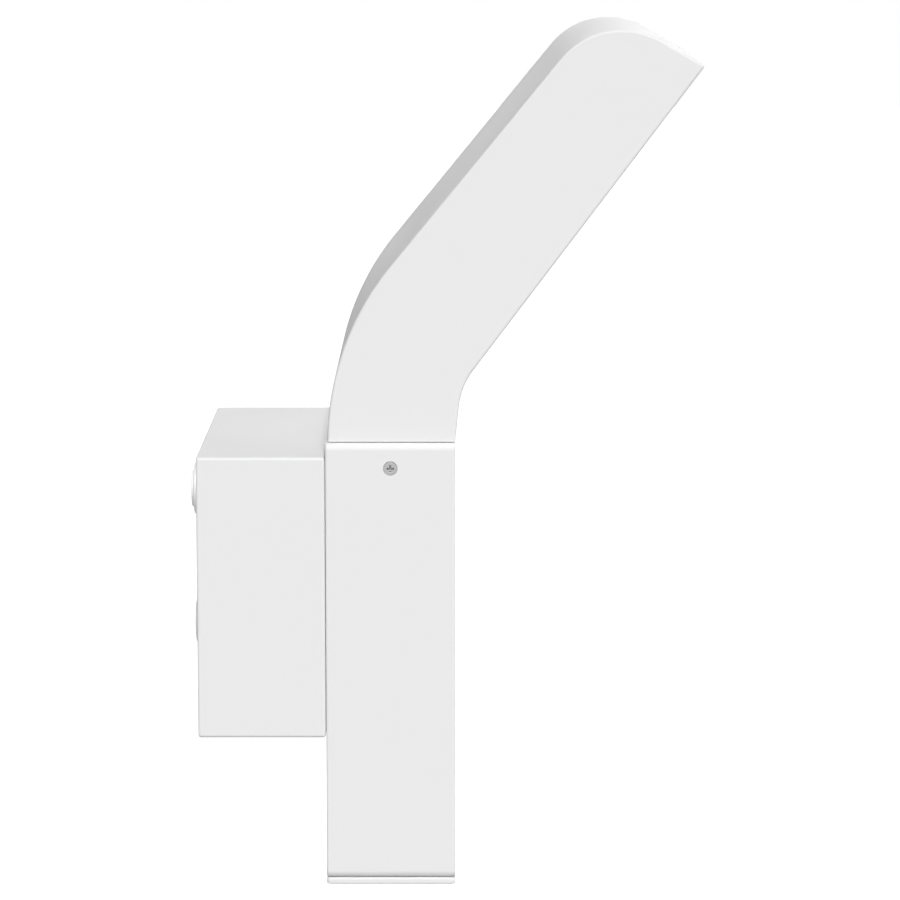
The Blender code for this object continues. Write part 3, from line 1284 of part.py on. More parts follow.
def mains_wires():
    """Line and neutral from the terminal block through the passage to the driver."""
    port_u = (TERMINAL_FRONT + TERMINAL_BACK) / 2
    start_z = TERMINAL_TOP - TERMINAL_PORT_DEPTH
    rise = TERMINAL_TOP + 3 * WIRE_RADIUS
    apart = 2 * WIRE_RADIUS
    port_x = -DRIVER_PORT_SPREAD / 2
    bend_z = (PASSAGE_Z + DRIVER_PORT_Z) / 2 + WIRE_RADIUS
    for name, x, side, finish in (("wire_line", pole_places()[0], -1, BROWN_WIRE),
                                  ("wire_neutral", pole_places()[1], 1, BLUE_WIRE)):
        through = side * apart
        end_x = port_x + side * apart
        wire(name, [at(x, port_u, start_z), at(x, port_u, rise),
                    at((x + through) / 2, (port_u + BOX_INNER_U) / 2 - WIRE_RADIUS,
                       (rise + PASSAGE_Z) / 2),
                    at(through, BOX_INNER_U - WIRE_RADIUS, PASSAGE_Z),
                    at(through, POST_INNER_BACK, PASSAGE_Z),
                    at((through + end_x) / 2, (POST_INNER_BACK + DRIVER_MIDDLE) / 2 + WIRE_RADIUS,
                       PASSAGE_Z - WIRE_RADIUS),
                    at(end_x, DRIVER_MIDDLE, bend_z),
                    at(end_x, DRIVER_MIDDLE, DRIVER_PORT_Z + GAP)], WIRE_RADIUS, finish)


def earth_wire():
    """The earth wire from the terminal block to its lug."""
    x = pole_places()[2]
    port_u = (TERMINAL_FRONT + TERMINAL_BACK) / 2
    lug_u = EARTH_FACE - GAP - LUG_BARREL_RADIUS
    end_x = EARTH_X - LUG_RADIUS + OVERLAP - LUG_BARREL_LENGTH - GAP
    wire("wire_earth", [at(x, port_u, TERMINAL_TOP - TERMINAL_PORT_DEPTH),
                        at(x, port_u, TERMINAL_TOP + 2 * WIRE_RADIUS),
                        at(x + 2 * WIRE_RADIUS, (port_u + lug_u) / 2, EARTH_Z - 2 * WIRE_RADIUS),
                        at(end_x - 3 * WIRE_RADIUS, lug_u, EARTH_Z),
                        at(end_x, lug_u, EARTH_Z)], WIRE_RADIUS, GREEN_WIRE)


def led_wires():
    """The two low-voltage wires from the driver up through the spigot to the LED board."""
    height = SOLDER_GAP - LED_DEPTH + CONNECTOR_HEIGHT / 2
    lead_in = CONNECTOR_INSET - BOARD_LENGTH / 2 - GAP
    _, back, _, _, inner, _ = head_corners()
    port_x = DRIVER_PORT_SPREAD / 2
    for name, side, finish in (("wire_led_positive", -1, RED_WIRE),
                               ("wire_led_negative", 1, BLACK_WIRE)):
        start_x = port_x + side * 2 * WIRE_RADIUS
        end_x = side * CONNECTOR_WIDTH / 4
        low = (start_x + end_x) / 2
        bend = Vector(((back.x + inner.x) / 2, inner.y))
        wire(name, [at(start_x, DRIVER_MIDDLE, DRIVER_PORT_Z + GAP),
                    at(start_x, DRIVER_MIDDLE, DRIVER_PORT_Z + PASSAGE_Z),
                    at(low, POST_MIDDLE, SPIGOT_BOTTOM),
                    at(end_x, POST_MIDDLE, HEAD_BASE),
                    at(end_x, bend.x, bend.y),
                    LIGHT @ Vector((end_x, 2 * lead_in + BOARD_LENGTH / 4, height)),
                    LIGHT @ Vector((end_x, lead_in - CONNECTOR_WIDTH / 2, height)),
                    LIGHT @ Vector((end_x, lead_in, height))], LED_WIRE_RADIUS, finish)


def main():
    """Empty the scene and build every piece."""
    for old in list(bpy.data.objects):
        bpy.data.objects.remove(old, do_unlink=True)
    for name, frame in GROUPS.items():
        empty = bpy.data.objects.new(name, None)
        empty.matrix_basis = frame
        bpy.context.scene.collection.objects.link(empty)
    wall_plate()
    wall_seal()
    entry("cable_entry", UPPER_ENTRY_HEIGHT, ENTRY_RADIUS, ENTRY_NOSE,
          ENTRY_BOSS_RADIUS, ENTRY_BOSS_HEIGHT)
    entry("blanking_plug", LOWER_ENTRY_HEIGHT, BLANK_RADIUS, BLANK_NOSE,
          ENTRY_BOSS_RADIUS, 0.0)
    cable_clamp()
    rear_box()
    seats = lock_screw_frames()
    screws(numbered("box_lock_screw", seats), seats, LOCK_SCREW_LENGTH, countersunk, MEDIUM,
           "box_group")
    terminal_block()
    earth_point()
    wire_passage()
    seats = box_bolt_frames()
    screws(numbered("box_post_screw", seats), seats, BOX_BOLT_LENGTH, pan_head, MEDIUM,
           "box_group")
    post_shell()
    driver()
    bottom_cap()
    head_shell()
    ring_seal("neck_seal", NECK_RING_HIGH - RING_GROOVE_HEIGHT, NECK_RING_HIGH)
    side_screws()
    bezel_and_pane()
    heat_spreader()
    led_board()
    reflector()
    led_connector()
    mains_wires()
    earth_wire()
    led_wires()


main()
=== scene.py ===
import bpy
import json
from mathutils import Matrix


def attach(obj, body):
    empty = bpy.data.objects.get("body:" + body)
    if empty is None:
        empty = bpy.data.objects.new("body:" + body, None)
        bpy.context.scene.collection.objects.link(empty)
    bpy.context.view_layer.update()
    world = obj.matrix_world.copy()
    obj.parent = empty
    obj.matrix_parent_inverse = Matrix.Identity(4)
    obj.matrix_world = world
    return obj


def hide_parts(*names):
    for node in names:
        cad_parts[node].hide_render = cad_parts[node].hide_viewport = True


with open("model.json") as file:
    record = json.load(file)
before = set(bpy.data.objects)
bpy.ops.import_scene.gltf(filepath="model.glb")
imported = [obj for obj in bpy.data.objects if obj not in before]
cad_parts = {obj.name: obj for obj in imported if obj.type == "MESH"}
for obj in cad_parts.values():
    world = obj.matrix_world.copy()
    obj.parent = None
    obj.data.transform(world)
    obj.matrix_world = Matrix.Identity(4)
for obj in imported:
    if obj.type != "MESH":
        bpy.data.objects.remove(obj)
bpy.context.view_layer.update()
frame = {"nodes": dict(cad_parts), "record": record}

import json
import math

import bmesh
import bpy
import numpy as np
from mathutils import Vector

bl_info = {
    "name": "Outdoor Wall Light",
    "version": (1, 0, 0),
    "blender": (4, 5, 0),
    "location": "View3D > Sidebar > Wall Light",
    "description": "Dresses the wall light: castings, seals, screws, opal pane and studio",
    "category": "Object",
}

# Every place is in metres. The wall is the plane y = 0, and u is the distance from it, so y = -u.
MM = 0.001
BODY = "root"

# Fits
GAP = 0.3 * MM
SCREW_GAP = 0.2 * MM
SEAM_GAP = 0.4 * MM
OVERRUN = 1.5 * MM
OVERLAP = 0.6 * MM
CORNER = 0.9 * MM

# How far the head, the box and the cap grow into the gap beside the post, for finer lines
SEAM_CLOSE = 0.27 * MM
BOX_CLOSE = 0.23 * MM
CAP_CLOSE = 0.17 * MM

# Rear box
HALF_WIDTH = 50.0 * MM
BOX_DEPTH = 35.6 * MM
HALF_BOX = 39.85 * MM
BOX_WALL = 2.5 * MM
BOX_INNER_U = 32.6 * MM
BOLT_X = 41.0 * MM
BOLT_Z = (18.5 * MM, -28.0 * MM)
LOCK_SCREW_X = 30.0 * MM
LOCK_SCREW_U = 7.0 * MM
TERMINAL_X = 5.0 * MM
TERMINAL_Z = -14.0 * MM
EARTH_X = 29.0 * MM
EARTH_Z = 4.0 * MM
EARTH_HEIGHT = 4.0 * MM

# Post
POST_BACK = 35.95 * MM
POST_FRONT = 72.15 * MM
POST_TOP = 43.7 * MM
POST_BOTTOM = -80.2 * MM
POST_WALL = 2.8 * MM
POST_MIDDLE = (POST_BACK + POST_FRONT) / 2
POST_HALF_DEPTH = (POST_FRONT - POST_BACK) / 2
POST_INNER_BACK = POST_BACK + POST_WALL
POST_INNER_FRONT = POST_FRONT - POST_WALL
POST_END_RADIUS = 2.0 * MM
POST_END_STEPS = 8
CAP_THICKNESS = 1.6 * MM
CAP_SOFT = 0.5 * MM
CAP_PLUG_HEIGHT = 3.6 * MM
CAP_PLUG_WALL = 9.0 * MM
CAP_GROOVE_RISE = 0.5 * MM
PLUG_X = 46.8 * MM
PLUG_HALF_DEPTH = 14.9 * MM
CORNER_BLOCK = 8.4 * MM
CORNER_BLOCK_HEIGHT = 12.0 * MM
RING_GROOVE_DEPTH = 1.4 * MM
RING_GROOVE_HEIGHT = 2.0 * MM
PASSAGE_Z = 11.0 * MM
PASSAGE_RADIUS = 6.6 * MM
PASSAGE_GROOVE = [(12.2 * MM, 34.15 * MM), (14.8 * MM, 34.15 * MM),
                  (14.8 * MM, POST_BACK), (12.2 * MM, POST_BACK)]
DRIVER_SCREW_Z = (-5.0 * MM, -71.0 * MM)

# Head
HEAD_X = 48.0 * MM
HEAD_BASE = POST_TOP + SEAM_GAP
HEAD_BASE_BACK = 36.55 * MM
HEAD_BACK_RISE = 28.76 * MM
HEAD_BACK_LENGTH = 118.1 * MM
HEAD_FRONT_RISE = 15.4 * MM
HEAD_BACK_LEAN, HEAD_SLOPE, HEAD_NOSE, HEAD_UNDER, HEAD_FRONT_LEAN = np.radians(
    [2.35, 39.34, 119.9, 37.05, 5.9])
HEAD_RADII = np.array([0.0, 77.0, 21.8, 0.8, 21.0, 0.0]) * MM
HEAD_ARC_STEPS = (1, 48, 40, 7, 28, 1)
HEAD_WALL = 2.5 * MM
HEAD_FLOOR = 3.0 * MM
FLOOR_EDGE_SHARE = 0.25
SPIGOT_BOTTOM = 28.1 * MM
SPIGOT_WALL = 2.5 * MM
SPIGOT_GROOVE_TOP = POST_TOP - 1.0 * MM
SIDE_SCREW_Z = 36.7 * MM

# Light opening, in the frame of the head's slanted underside
OPENING_FROM_TIP = 50.2 * MM
PANE_HALF = np.array([39.5, 39.0]) * MM
PANE_HIGH = -1.7 * MM
PANE_LOW = -3.5 * MM
PANE_SOFT = 0.2 * MM
BEZEL_HALF = PANE_HALF + 5.3 * MM
WINDOW_HALF = PANE_HALF - 2.0 * MM
BEZEL_RECESS = 0.4 * MM
BEZEL_SOFT = 0.25 * MM
BEZEL_SCREW_OUT = 2.8 * MM
BEZEL_SCREW_SHARE = 0.72
LIP_LOW = -1.4 * MM
REBATE_LOW = -5.1 * MM
RIM_LOW = -7.1 * MM
OPENING_HALF = PANE_HALF - 3.4 * MM
FOOT_TOP = -23.2 * MM
FOOT_RADIUS = 3.3 * MM
ENGINE_HALF = (25.2 * MM, 28.2 * MM)

# Bosses and ways of the screws: radius, then from where to where along the screw's own axis
SIDE_BOSS = (3.6 * MM, -9.7 * MM, -5.1 * MM)
SIDE_WAY = (1.2 * MM, -11.2 * MM, -POST_WALL)
BEZEL_WAY = (1.2 * MM, -9.0 * MM, -3.0 * MM)
FOOT_WAY = (1.2 * MM, -5.3 * MM, OVERRUN)
BOLT_BOSS = (3.6 * MM, -14.15 * MM, -5.55 * MM)
BOLT_WAY_IN_POST = (1.6 * MM, -11.3 * MM, 0.0)
BOLT_WAY_IN_BOX = (1.6 * MM, -4.5 * MM, OVERRUN)
CAP_SCREW_WAY = (1.6 * MM, -10.3 * MM, 0.0)
DRIVER_BOSS = (3.6 * MM, POST_INNER_BACK - OVERLAP, POST_INNER_BACK + 4.0 * MM)
DRIVER_WAY = (1.2 * MM, POST_INNER_BACK - 0.9 * MM, POST_INNER_BACK + 5.5 * MM)
TERMINAL_BOSS = (2.8 * MM, -OVERLAP, 2.0 * MM)
TERMINAL_WAY = (1.2 * MM, -1.7 * MM, 3.5 * MM)
EARTH_BOSS = (4.0 * MM, -OVERLAP, EARTH_HEIGHT)
EARTH_WAY = (1.2 * MM, -5.0 * MM, OVERRUN)

# Cable entries: height, nose radius, reach of the nose behind the wall, reach of its boss
ENTRIES = {
    "cable_entry": (23.1 * MM, 7.6 * MM, 3.7 * MM, 0.7 * MM),
    "blanking_plug": (-16.0 * MM, 6.4 * MM, 3.5 * MM, 0.0),
}
ENTRY_AXIS = 0.01 * MM
ENTRY_BOSS_RADIUS = 5.4 * MM
ENTRY_LIP = 1.9 * MM
ENTRY_INSIDE = 2.3 * MM
ENTRY_FLANGE = 4.0 * MM
ENTRY_BORE = 4.2 * MM
ENTRY_SKIN = 1.2 * MM

# Screws: shank radius, head radius, head height
SMALL = np.array([1.0, 1.88, 1.1]) * MM
MEDIUM = np.array([1.4, 2.6, 1.4]) * MM
SIDE_SCREW_LENGTH = 8.5 * MM
CAP_SCREW_LENGTH = 10.0 * MM
LOCK_SCREW_LENGTH = 7.9 * MM
BEZEL_SCREW_LENGTH = 6.7 * MM
HOLE_RISE = 0.35 * MM
TIP_SHARE = 0.6
FACE_SHARE = 0.8
SOFT_SHARE = 0.12
RIM_DROP, RIM_ROUND = 0.6, 0.5

# The cross in a screw, in shares of the head's radius or height. Its mouth is longer and wider,
# and each row under it has shares of the cross's length, width and depth.
CROSS_REACH_SHARE = 0.52
CROSS_WIDTH_SHARE = 0.125
CROSS_DEPTH_SHARE = 0.8
CROSS_MOUTH_SHARE = 0.03
CROSS_MOUTH_LONG, CROSS_MOUTH_WIDE = 1.02, 1.25
CROSS_ROWS = ((0.92, 0.95, 0.55), (0.74, 0.85, 0.95), (0.10, 0.30, 1.15))

# Meshes: distance under which points are one, and the angles, in degrees, that stay sharp
MERGE_DISTANCE = 1e-7
SHARP_ANGLE = 30
SCREW_SHARP_ANGLE = 25

# Noise: the range its values mostly lie in, how much finer and lower the fine grain is, and how
# many broad tones there are to a metre
NOISE_LOW, NOISE_HIGH = 0.3, 0.7
FINE_RATIO = 3.1
FINE_SHARE = 0.35
TONE_SCALE = 20.0

WIRE_COLOURS = {
    "wire_brown": (0.16, 0.06, 0.025),
    "wire_blue": (0.02, 0.10, 0.42),
    "wire_green_yellow": (0.20, 0.42, 0.03),
    "wire_red": (0.46, 0.015, 0.015),
    "wire_black": (0.015, 0.015, 0.015),
}

# Studio: where each lamp shines from, and how wide it is in degrees
LAMPS = {
    "key": ((-0.76, -0.065, 0.65), 14),
    "front": ((0.0, -1.0, 0.0), 60),
    "far_side": ((0.95, -0.25, 0.0), 60),
    "top": ((0.0, 0.0, 1.0), 30),
}
LAMP_DISTANCE = 2.0
FLOOR_HALF = 12.0
FLOOR_COLOUR = (0.55, 0.55, 0.55, 1)
FLOOR_GLOW = 0.75
WHITE = (1, 1, 1, 1)


# --- settings a user would change ---

def colour_setting(name, description, default):
    """A colour."""
    return bpy.props.FloatVectorProperty(name=name, description=description, subtype="COLOR",
                                         size=3, min=0, max=1, default=default)


def radius_setting(name, description, default, largest=0.002):
    """A small radius."""
    return bpy.props.FloatProperty(name=name, description=description, unit="LENGTH",
                                   min=0.0001, max=largest, default=default)


def strength_setting(name, description, default):
    """The strength of a light source."""
    return bpy.props.FloatProperty(name=name, description=description, min=0, default=default)


class WallLightFinish(bpy.types.PropertyGroup):
    """Colours and finishes of the wall light."""

    paint: colour_setting("Paint", "Colour of the painted castings", (0.82, 0.82, 0.82))
    paint_roughness: bpy.props.FloatProperty(
        name="Paint roughness", description="How matt the paint is", subtype="FACTOR",
        min=0, max=1, default=0.6)
    steel: colour_setting("Screw steel", "Colour of the screws", (0.38, 0.38, 0.38))
    rubber: colour_setting("Entry rubber", "Colour of the cable entries", (0.92, 0.92, 0.92))
    opal: colour_setting("Opal pane", "Colour of the light's pane", (0.88, 0.88, 0.86))


class WallLightShape(bpy.types.PropertyGroup):
    """Sizes of the small roundings that catch the light."""

    box_edge: radius_setting("Box edge", "Radius round the rear box's front face", 0.0009)
    box_back_edge: radius_setting(
        "Box back edge", "Radius round the rear box's open side at the wall", 0.0007, 0.0012)
    post_edge: radius_setting("Post edge", "Radius of the post's upright edges", 0.0006)
    head_edge: radius_setting(
        "Head edge", "Radius between the head's sides and its bent skin", 0.0008)
    edge_steps: bpy.props.IntProperty(
        name="Edge steps", description="How finely each small rounding is divided",
        min=2, max=12, default=5)


class WallLightStudio(bpy.types.PropertyGroup):
    """The camera's place and the strength of the studio's lamps."""

    lens: bpy.props.FloatProperty(
        name="Lens", description="Focal length of the camera", unit="CAMERA",
        min=20, max=400, default=149.32)
    tilt: bpy.props.FloatProperty(
        name="Tilt", description="How far the camera looks down", subtype="ANGLE",
        default=math.radians(8.734))
    camera_place: bpy.props.FloatVectorProperty(
        name="Camera place", description="Where the camera stands", subtype="TRANSLATION",
        size=3, default=(-1.0735, -0.07066, 0.19922))
    floor_height: bpy.props.FloatProperty(
        name="Floor height", description="Height of the floor under the light", unit="LENGTH",
        default=-0.60)
    key: strength_setting("Key", "Strength of the high lamp beside the camera", 3.02)
    front: strength_setting("Front", "Strength of the lamp in front", 1.25)
    far_side: strength_setting("Far side", "Strength of the lamp on the far side", 1.4)
    top: strength_setting("Top", "Strength of the lamp overhead", 0.14)
    ambient: strength_setting("Ambient", "Strength of the light from all round", 0.05)


# --- surfaces ---

def unit(vectors):
    """Vectors divided by their lengths."""
    return vectors / np.linalg.norm(vectors, axis=-1, keepdims=True)


def frame_at(origin, across, up):
    """A 3 by 4 frame from an origin and two axes; its third axis is their cross product."""
    across, up = unit(np.array(across, float)), unit(np.array(up, float))
    return np.column_stack([across, up, np.cross(across, up), np.array(origin, float)])


def placed(points, seat):
    """Points carried into a frame: each axis times its coordinate, plus the origin."""
    return points @ seat[:, :3].T + seat[:, 3]


def moved(seat, x=0.0, y=0.0, z=0.0):
    """The same frame with its origin shifted along its own axes."""
    result = seat.copy()
    result[:, 3] = placed(np.array([x, y, z]), seat)
    return result


WALL = frame_at((0, 0, 0), (1, 0, 0), (0, 0, 1))
PASSAGE = moved(WALL, 0, PASSAGE_Z)
POST = frame_at((0, -POST_MIDDLE, 0), (1, 0, 0), (0, 1, 0))


def quads(rows, columns, joined):
    """Index quads between neighbours in a grid whose columns wrap, and its rows too if joined."""
    i = np.arange(rows if joined else rows - 1)[:, None]
    j = np.arange(columns)[None, :]
    here, there, after = i * columns, (i + 1) % rows * columns, (j + 1) % columns
    return np.stack([here + j, here + after, there + after, there + j], -1).reshape(-1, 4)


def tube(rows, joined=False):
    """A closed surface over a grid (rows, columns, 3): flat ends, or joined into a ring."""
    count, columns, _ = rows.shape
    faces = quads(count, columns, joined).tolist()
    if not joined:
        faces.append(list(range(columns - 1, -1, -1)))
        faces.append(list(range((count - 1) * columns, count * columns)))
    return rows.reshape(-1, 3), faces


def lofted(seat, loops, heights, joined=False):
    """A surface through flat loops, each lifted to its own height in a frame."""
    level = np.broadcast_to(heights[:, None, None], (*loops.shape[:2], 1))
    return tube(placed(np.concatenate([loops, level], -1), seat), joined)


def around(seat, radius, heights, turn):
    """Rows of points round a frame's third axis: radius times the circle, and height."""
    rows = np.broadcast_arrays(radius * np.cos(turn), radius * np.sin(turn), heights[:, None])
    return placed(np.stack(rows, -1), seat)


def quarter(edge, steps):
    """A quarter circle: its radius times one minus sine, and times one minus cosine.

    Without an edge there is one row of zeros."""
    turn = np.linspace(0, math.pi / 2, steps + 1) if edge else np.zeros(1)
    return edge * (1 - np.sin(turn)), edge * (1 - np.cos(turn))


def edge_rows(half, edge, steps):
    """Insets and places of a body's two rounded side edges, from one side to the other."""
    inset, rise = quarter(edge, steps)
    place = half - rise
    return np.concatenate([inset, inset[::-1]]), np.concatenate([-place, place[::-1]])


def rounded_loop(half_x, half_y, radius, steps=6):
    """Round-cornered rectangles: corner centres plus a circle's quarter at each corner.

    Half sizes may be columns, one row each."""
    turn = (np.arange(4)[:, None] + np.linspace(0, 1, steps)[None, :]) * math.pi / 2
    turn = turn.reshape(-1)
    side_x = np.repeat([1, -1, -1, 1], steps)
    side_y = np.repeat([1, 1, -1, -1], steps)
    half_x, half_y = (np.atleast_1d(value).reshape(-1, 1) for value in (half_x, half_y))
    x = side_x * (half_x - radius) + radius * np.cos(turn)
    y = side_y * (half_y - radius) + radius * np.sin(turn)
    return np.stack([x, y], -1)


def slab(seat, half, low, high, radius=CORNER, low_edge=0.0, high_edge=0.0, steps=5):
    """A slab with round corners whose rims follow a quarter circle where an edge is given."""
    low_inset, low_rise = quarter(low_edge, steps)
    high_drop, high_inset = quarter(high_edge, steps)
    inset = np.concatenate([low_inset, high_inset])
    heights = np.concatenate([low + low_rise, high - high_drop])
    return lofted(seat, rounded_loop(half[0] - inset, half[1] - inset, radius), heights)


def ring(seat, loops, steps=6):
    """A closed ring through rectangles, each given as half sizes and a height."""
    half_x, half_y, heights = np.array([(*half, height) for half, height in loops]).T
    return lofted(seat, rounded_loop(half_x, half_y, CORNER, steps), heights, joined=True)


def block(x, u, z):
    """A plain block between two limits across, two away from the wall and two upwards."""
    x, u, z = np.sort(x), np.sort(u), np.sort(z)
    corners = np.array([[x[1], -u[0]], [x[0], -u[0]], [x[0], -u[1]], [x[1], -u[1]]])
    return tube(np.stack([np.column_stack([corners, np.full(4, height)]) for height in z]))


def turned(seat, profile, steps=64, joined=False):
    """A solid of revolution: each profile point's radius and height, carried round the axis."""
    radius, heights = np.array(profile, float).T
    turn = np.linspace(0, 2 * math.pi, steps, endpoint=False)
    return tube(around(seat, radius[:, None], heights, turn), joined)


def rod(seat, radius, low, high, steps=32):
    """A round bar along the frame's third axis."""
    return turned(seat, [(radius, low), (radius, high)], steps)


def rounded_profile(rows, steps=5):
    """A profile of points, each followed by the radius of the arc that rounds its corner."""
    points = np.array([row[:2] for row in rows], float)
    result = []
    for i, (_, _, radius) in enumerate(rows):
        if radius == 0:
            result.append(points[i:i + 1])
        else:
            result.append(corner_arc(points[i - 1], points[i], points[i + 1], radius, steps))
    return np.concatenate(result)


def corner_arc(before, corner, after, radius, steps):
    """The arc that rounds a corner: its centre plus the start arm turned step by step."""
    way_in, way_out = unit(corner - before), unit(after - corner)
    half = math.acos(np.clip(-way_in @ way_out, -1, 1)) / 2
    turn = 1 if way_in[0] * way_out[1] - way_in[1] * way_out[0] > 0 else -1
    start = corner - way_in * radius / math.tan(half)
    centre = start - turn * radius * np.array([way_in[1], -way_in[0]])
    angle = turn * (math.pi - 2 * half) * np.linspace(0, 1, steps)
    arm = start - centre
    return centre + np.column_stack([arm[0] * np.cos(angle) - arm[1] * np.sin(angle),
                                     arm[0] * np.sin(angle) + arm[1] * np.cos(angle)])


def seal_groove(low, high):
    """The groove for a seal round the spigot or round the cap's plug."""
    outer = (PLUG_X + OVERRUN, PLUG_HALF_DEPTH + OVERRUN)
    inner = (PLUG_X - RING_GROOVE_DEPTH, PLUG_HALF_DEPTH - RING_GROOVE_DEPTH)
    return ring(POST, [(outer, low), (outer, high), (inner, high), (inner, low)])


# --- the head's outline ---

def leaning(angle):
    """The direction that leans away from the wall by an angle from the upright."""
    return np.array([math.sin(angle), math.cos(angle)])


def head_corners():
    """The head's six corners: each length along its lean, and the tip where two sides meet."""
    base_back = np.array([HEAD_BASE_BACK, HEAD_BASE])
    base_front = np.array([POST_FRONT, HEAD_BASE])
    back = base_back + HEAD_BACK_RISE * leaning(HEAD_BACK_LEAN)
    top = back + HEAD_BACK_LENGTH * leaning(HEAD_SLOPE)
    inner = base_front + HEAD_FRONT_RISE * leaning(HEAD_FRONT_LEAN)
    nose, under = leaning(HEAD_NOSE), leaning(HEAD_UNDER)
    reach = np.linalg.solve(np.column_stack([nose, -under]), inner - top)[0]
    return np.array([base_back, back, top, top + nose * reach, inner, base_front])


def drawn_in(corners, insets):
    """Corners of an outline whose sides are moved inwards, each by its own inset.

    A side's new line meets the next one where both insets along their normals are kept."""
    before, after = np.roll(corners, 1, 0), np.roll(corners, -1, 0)
    way_in, way_out = unit(corners - before), unit(after - corners)
    normal_in = np.stack([way_in[:, 1], -way_in[:, 0]], -1)
    normal_out = np.stack([way_out[:, 1], -way_out[:, 0]], -1)
    inset_in, inset_out = np.roll(insets, 1), insets
    turn = normal_in[:, 0] * normal_out[:, 1] - normal_in[:, 1] * normal_out[:, 0]
    shift = np.stack([(inset_in * normal_out[:, 1] - inset_out * normal_in[:, 1]) / turn,
                      (normal_in[:, 0] * inset_out - normal_out[:, 0] * inset_in) / turn], -1)
    return corners + shift


def head_outline(inset, floor_inset):
    """The head's side outline: its corners drawn in, then rounded by arcs.

    An inset makes the outer bends tighter and the inner one wider."""
    corners = drawn_in(head_corners(), np.array([inset] * 5 + [floor_inset]))
    _, back, top, tip, inner, _ = HEAD_RADII
    radii = (0, back - inset, top - inset, max(tip - inset, tip / 4), inner + inset, 0)
    arcs = []
    for i, (radius, steps) in enumerate(zip(radii, HEAD_ARC_STEPS)):
        if steps == 1:
            arcs.append(corners[i:i + 1])
        else:
            arcs.append(corner_arc(corners[i - 1], corners[i], corners[i + 1], radius, steps))
    return np.concatenate(arcs)


def head_prism(insets, places, floor_insets):
    """The head's outline carried across from side to side, drawn in at each place."""
    rows = []
    for inset, floor_inset, x in zip(insets, floor_insets, places):
        outline = head_outline(inset, floor_inset)
        rows.append(np.column_stack([np.full(len(outline), x), -outline[:, 0], outline[:, 1]]))
    return tube(np.stack(rows))


def light_frame():
    """The opening's frame: across, up the slanted underside, and out of it with the light."""
    tip, under = head_corners()[3], leaning(HEAD_UNDER)
    middle = tip - OPENING_FROM_TIP * under
    return frame_at((0, -middle[0], middle[1]), (1, 0, 0), (0, -under[0], under[1]))


LIGHT = light_frame()


def head_depth(along):
    """How deep the head is from its underside to its back, at a height along the opening."""
    _, back, top, _, _, _ = head_corners()
    start = placed(np.array([0, along, 0]), LIGHT)
    start = np.array([-start[1], start[2]])
    inward = np.array([LIGHT[1, 2], -LIGHT[2, 2]])
    return np.linalg.solve(np.column_stack([inward, back - top]), back - start)[0]


# --- where the screws sit ---

def side_screw_frames():
    """The two screws through the sides of the post, facing outwards."""
    return [frame_at((side * HALF_WIDTH, -POST_MIDDLE, SIDE_SCREW_Z), (0, side, 0), (0, 0, 1))
            for side in (-1, 1)]


def cap_screw_frames():
    """The four screws up through the bottom cap."""
    half_x = HALF_WIDTH - POST_WALL - CORNER_BLOCK / 2
    half_u = POST_HALF_DEPTH - POST_WALL - CORNER_BLOCK / 2
    bottom = POST_BOTTOM - GAP - CAP_THICKNESS
    return [frame_at((x, -POST_MIDDLE + y, bottom), (1, 0, 0), (0, -1, 0))
            for x in (-half_x, half_x) for y in (half_u, -half_u)]


def lock_screw_frames():
    """The two screws up through the box's floor."""
    return [frame_at((side * LOCK_SCREW_X, -LOCK_SCREW_U, -HALF_BOX), (1, 0, 0), (0, -1, 0))
            for side in (-1, 1)]


def corner_frames(half_x, half_y, height):
    """Four frames at the corners of a rectangle in the light opening, at a height in it."""
    return [moved(LIGHT, side_x * half_x, side_y * half_y, height)
            for side_x in (-1, 1) for side_y in (-1, 1)]


def bezel_screw_frames():
    """The four screws in the bezel's side rims."""
    return corner_frames(PANE_HALF[0] + BEZEL_SCREW_OUT, PANE_HALF[1] * BEZEL_SCREW_SHARE,
                         -BEZEL_RECESS)


def toward_wall(x, u, z):
    """A frame whose third axis points at the wall."""
    return frame_at((x, -u, z), (-1, 0, 0), (0, 0, 1))


def box_bolt_frames():
    """The four screws from inside the box into the post."""
    return [toward_wall(side * BOLT_X, BOX_INNER_U - GAP, z) for side in (-1, 1) for z in BOLT_Z]


def driver_frames():
    """The two screws that hold the driver to the back of the post, seen from the wall's plane."""
    return [moved(WALL, 0, z) for z in DRIVER_SCREW_Z]


# --- screws ---

def cross_angles():
    """Angles round a screw, with one on every corner of its cross."""
    arm = math.atan2(CROSS_WIDTH_SHARE, CROSS_REACH_SHARE)
    eighth = np.concatenate([np.linspace(0, arm, 3)[:-1], np.linspace(arm, math.pi / 4, 6)])
    quarter_turn = np.concatenate([eighth, math.pi / 2 - eighth[-2:0:-1]])
    return (np.arange(4)[:, None] * math.pi / 2 + quarter_turn[None, :]).reshape(-1)


def cross_radius(turn, reach, half):
    """The cross's radius at an angle: the larger of two bars, each cut by its end and its side."""
    c, s = np.abs(np.cos(turn)) + 1e-9, np.abs(np.sin(turn)) + 1e-9
    return np.maximum(np.minimum(reach / c, half / s), np.minimum(half / c, reach / s))


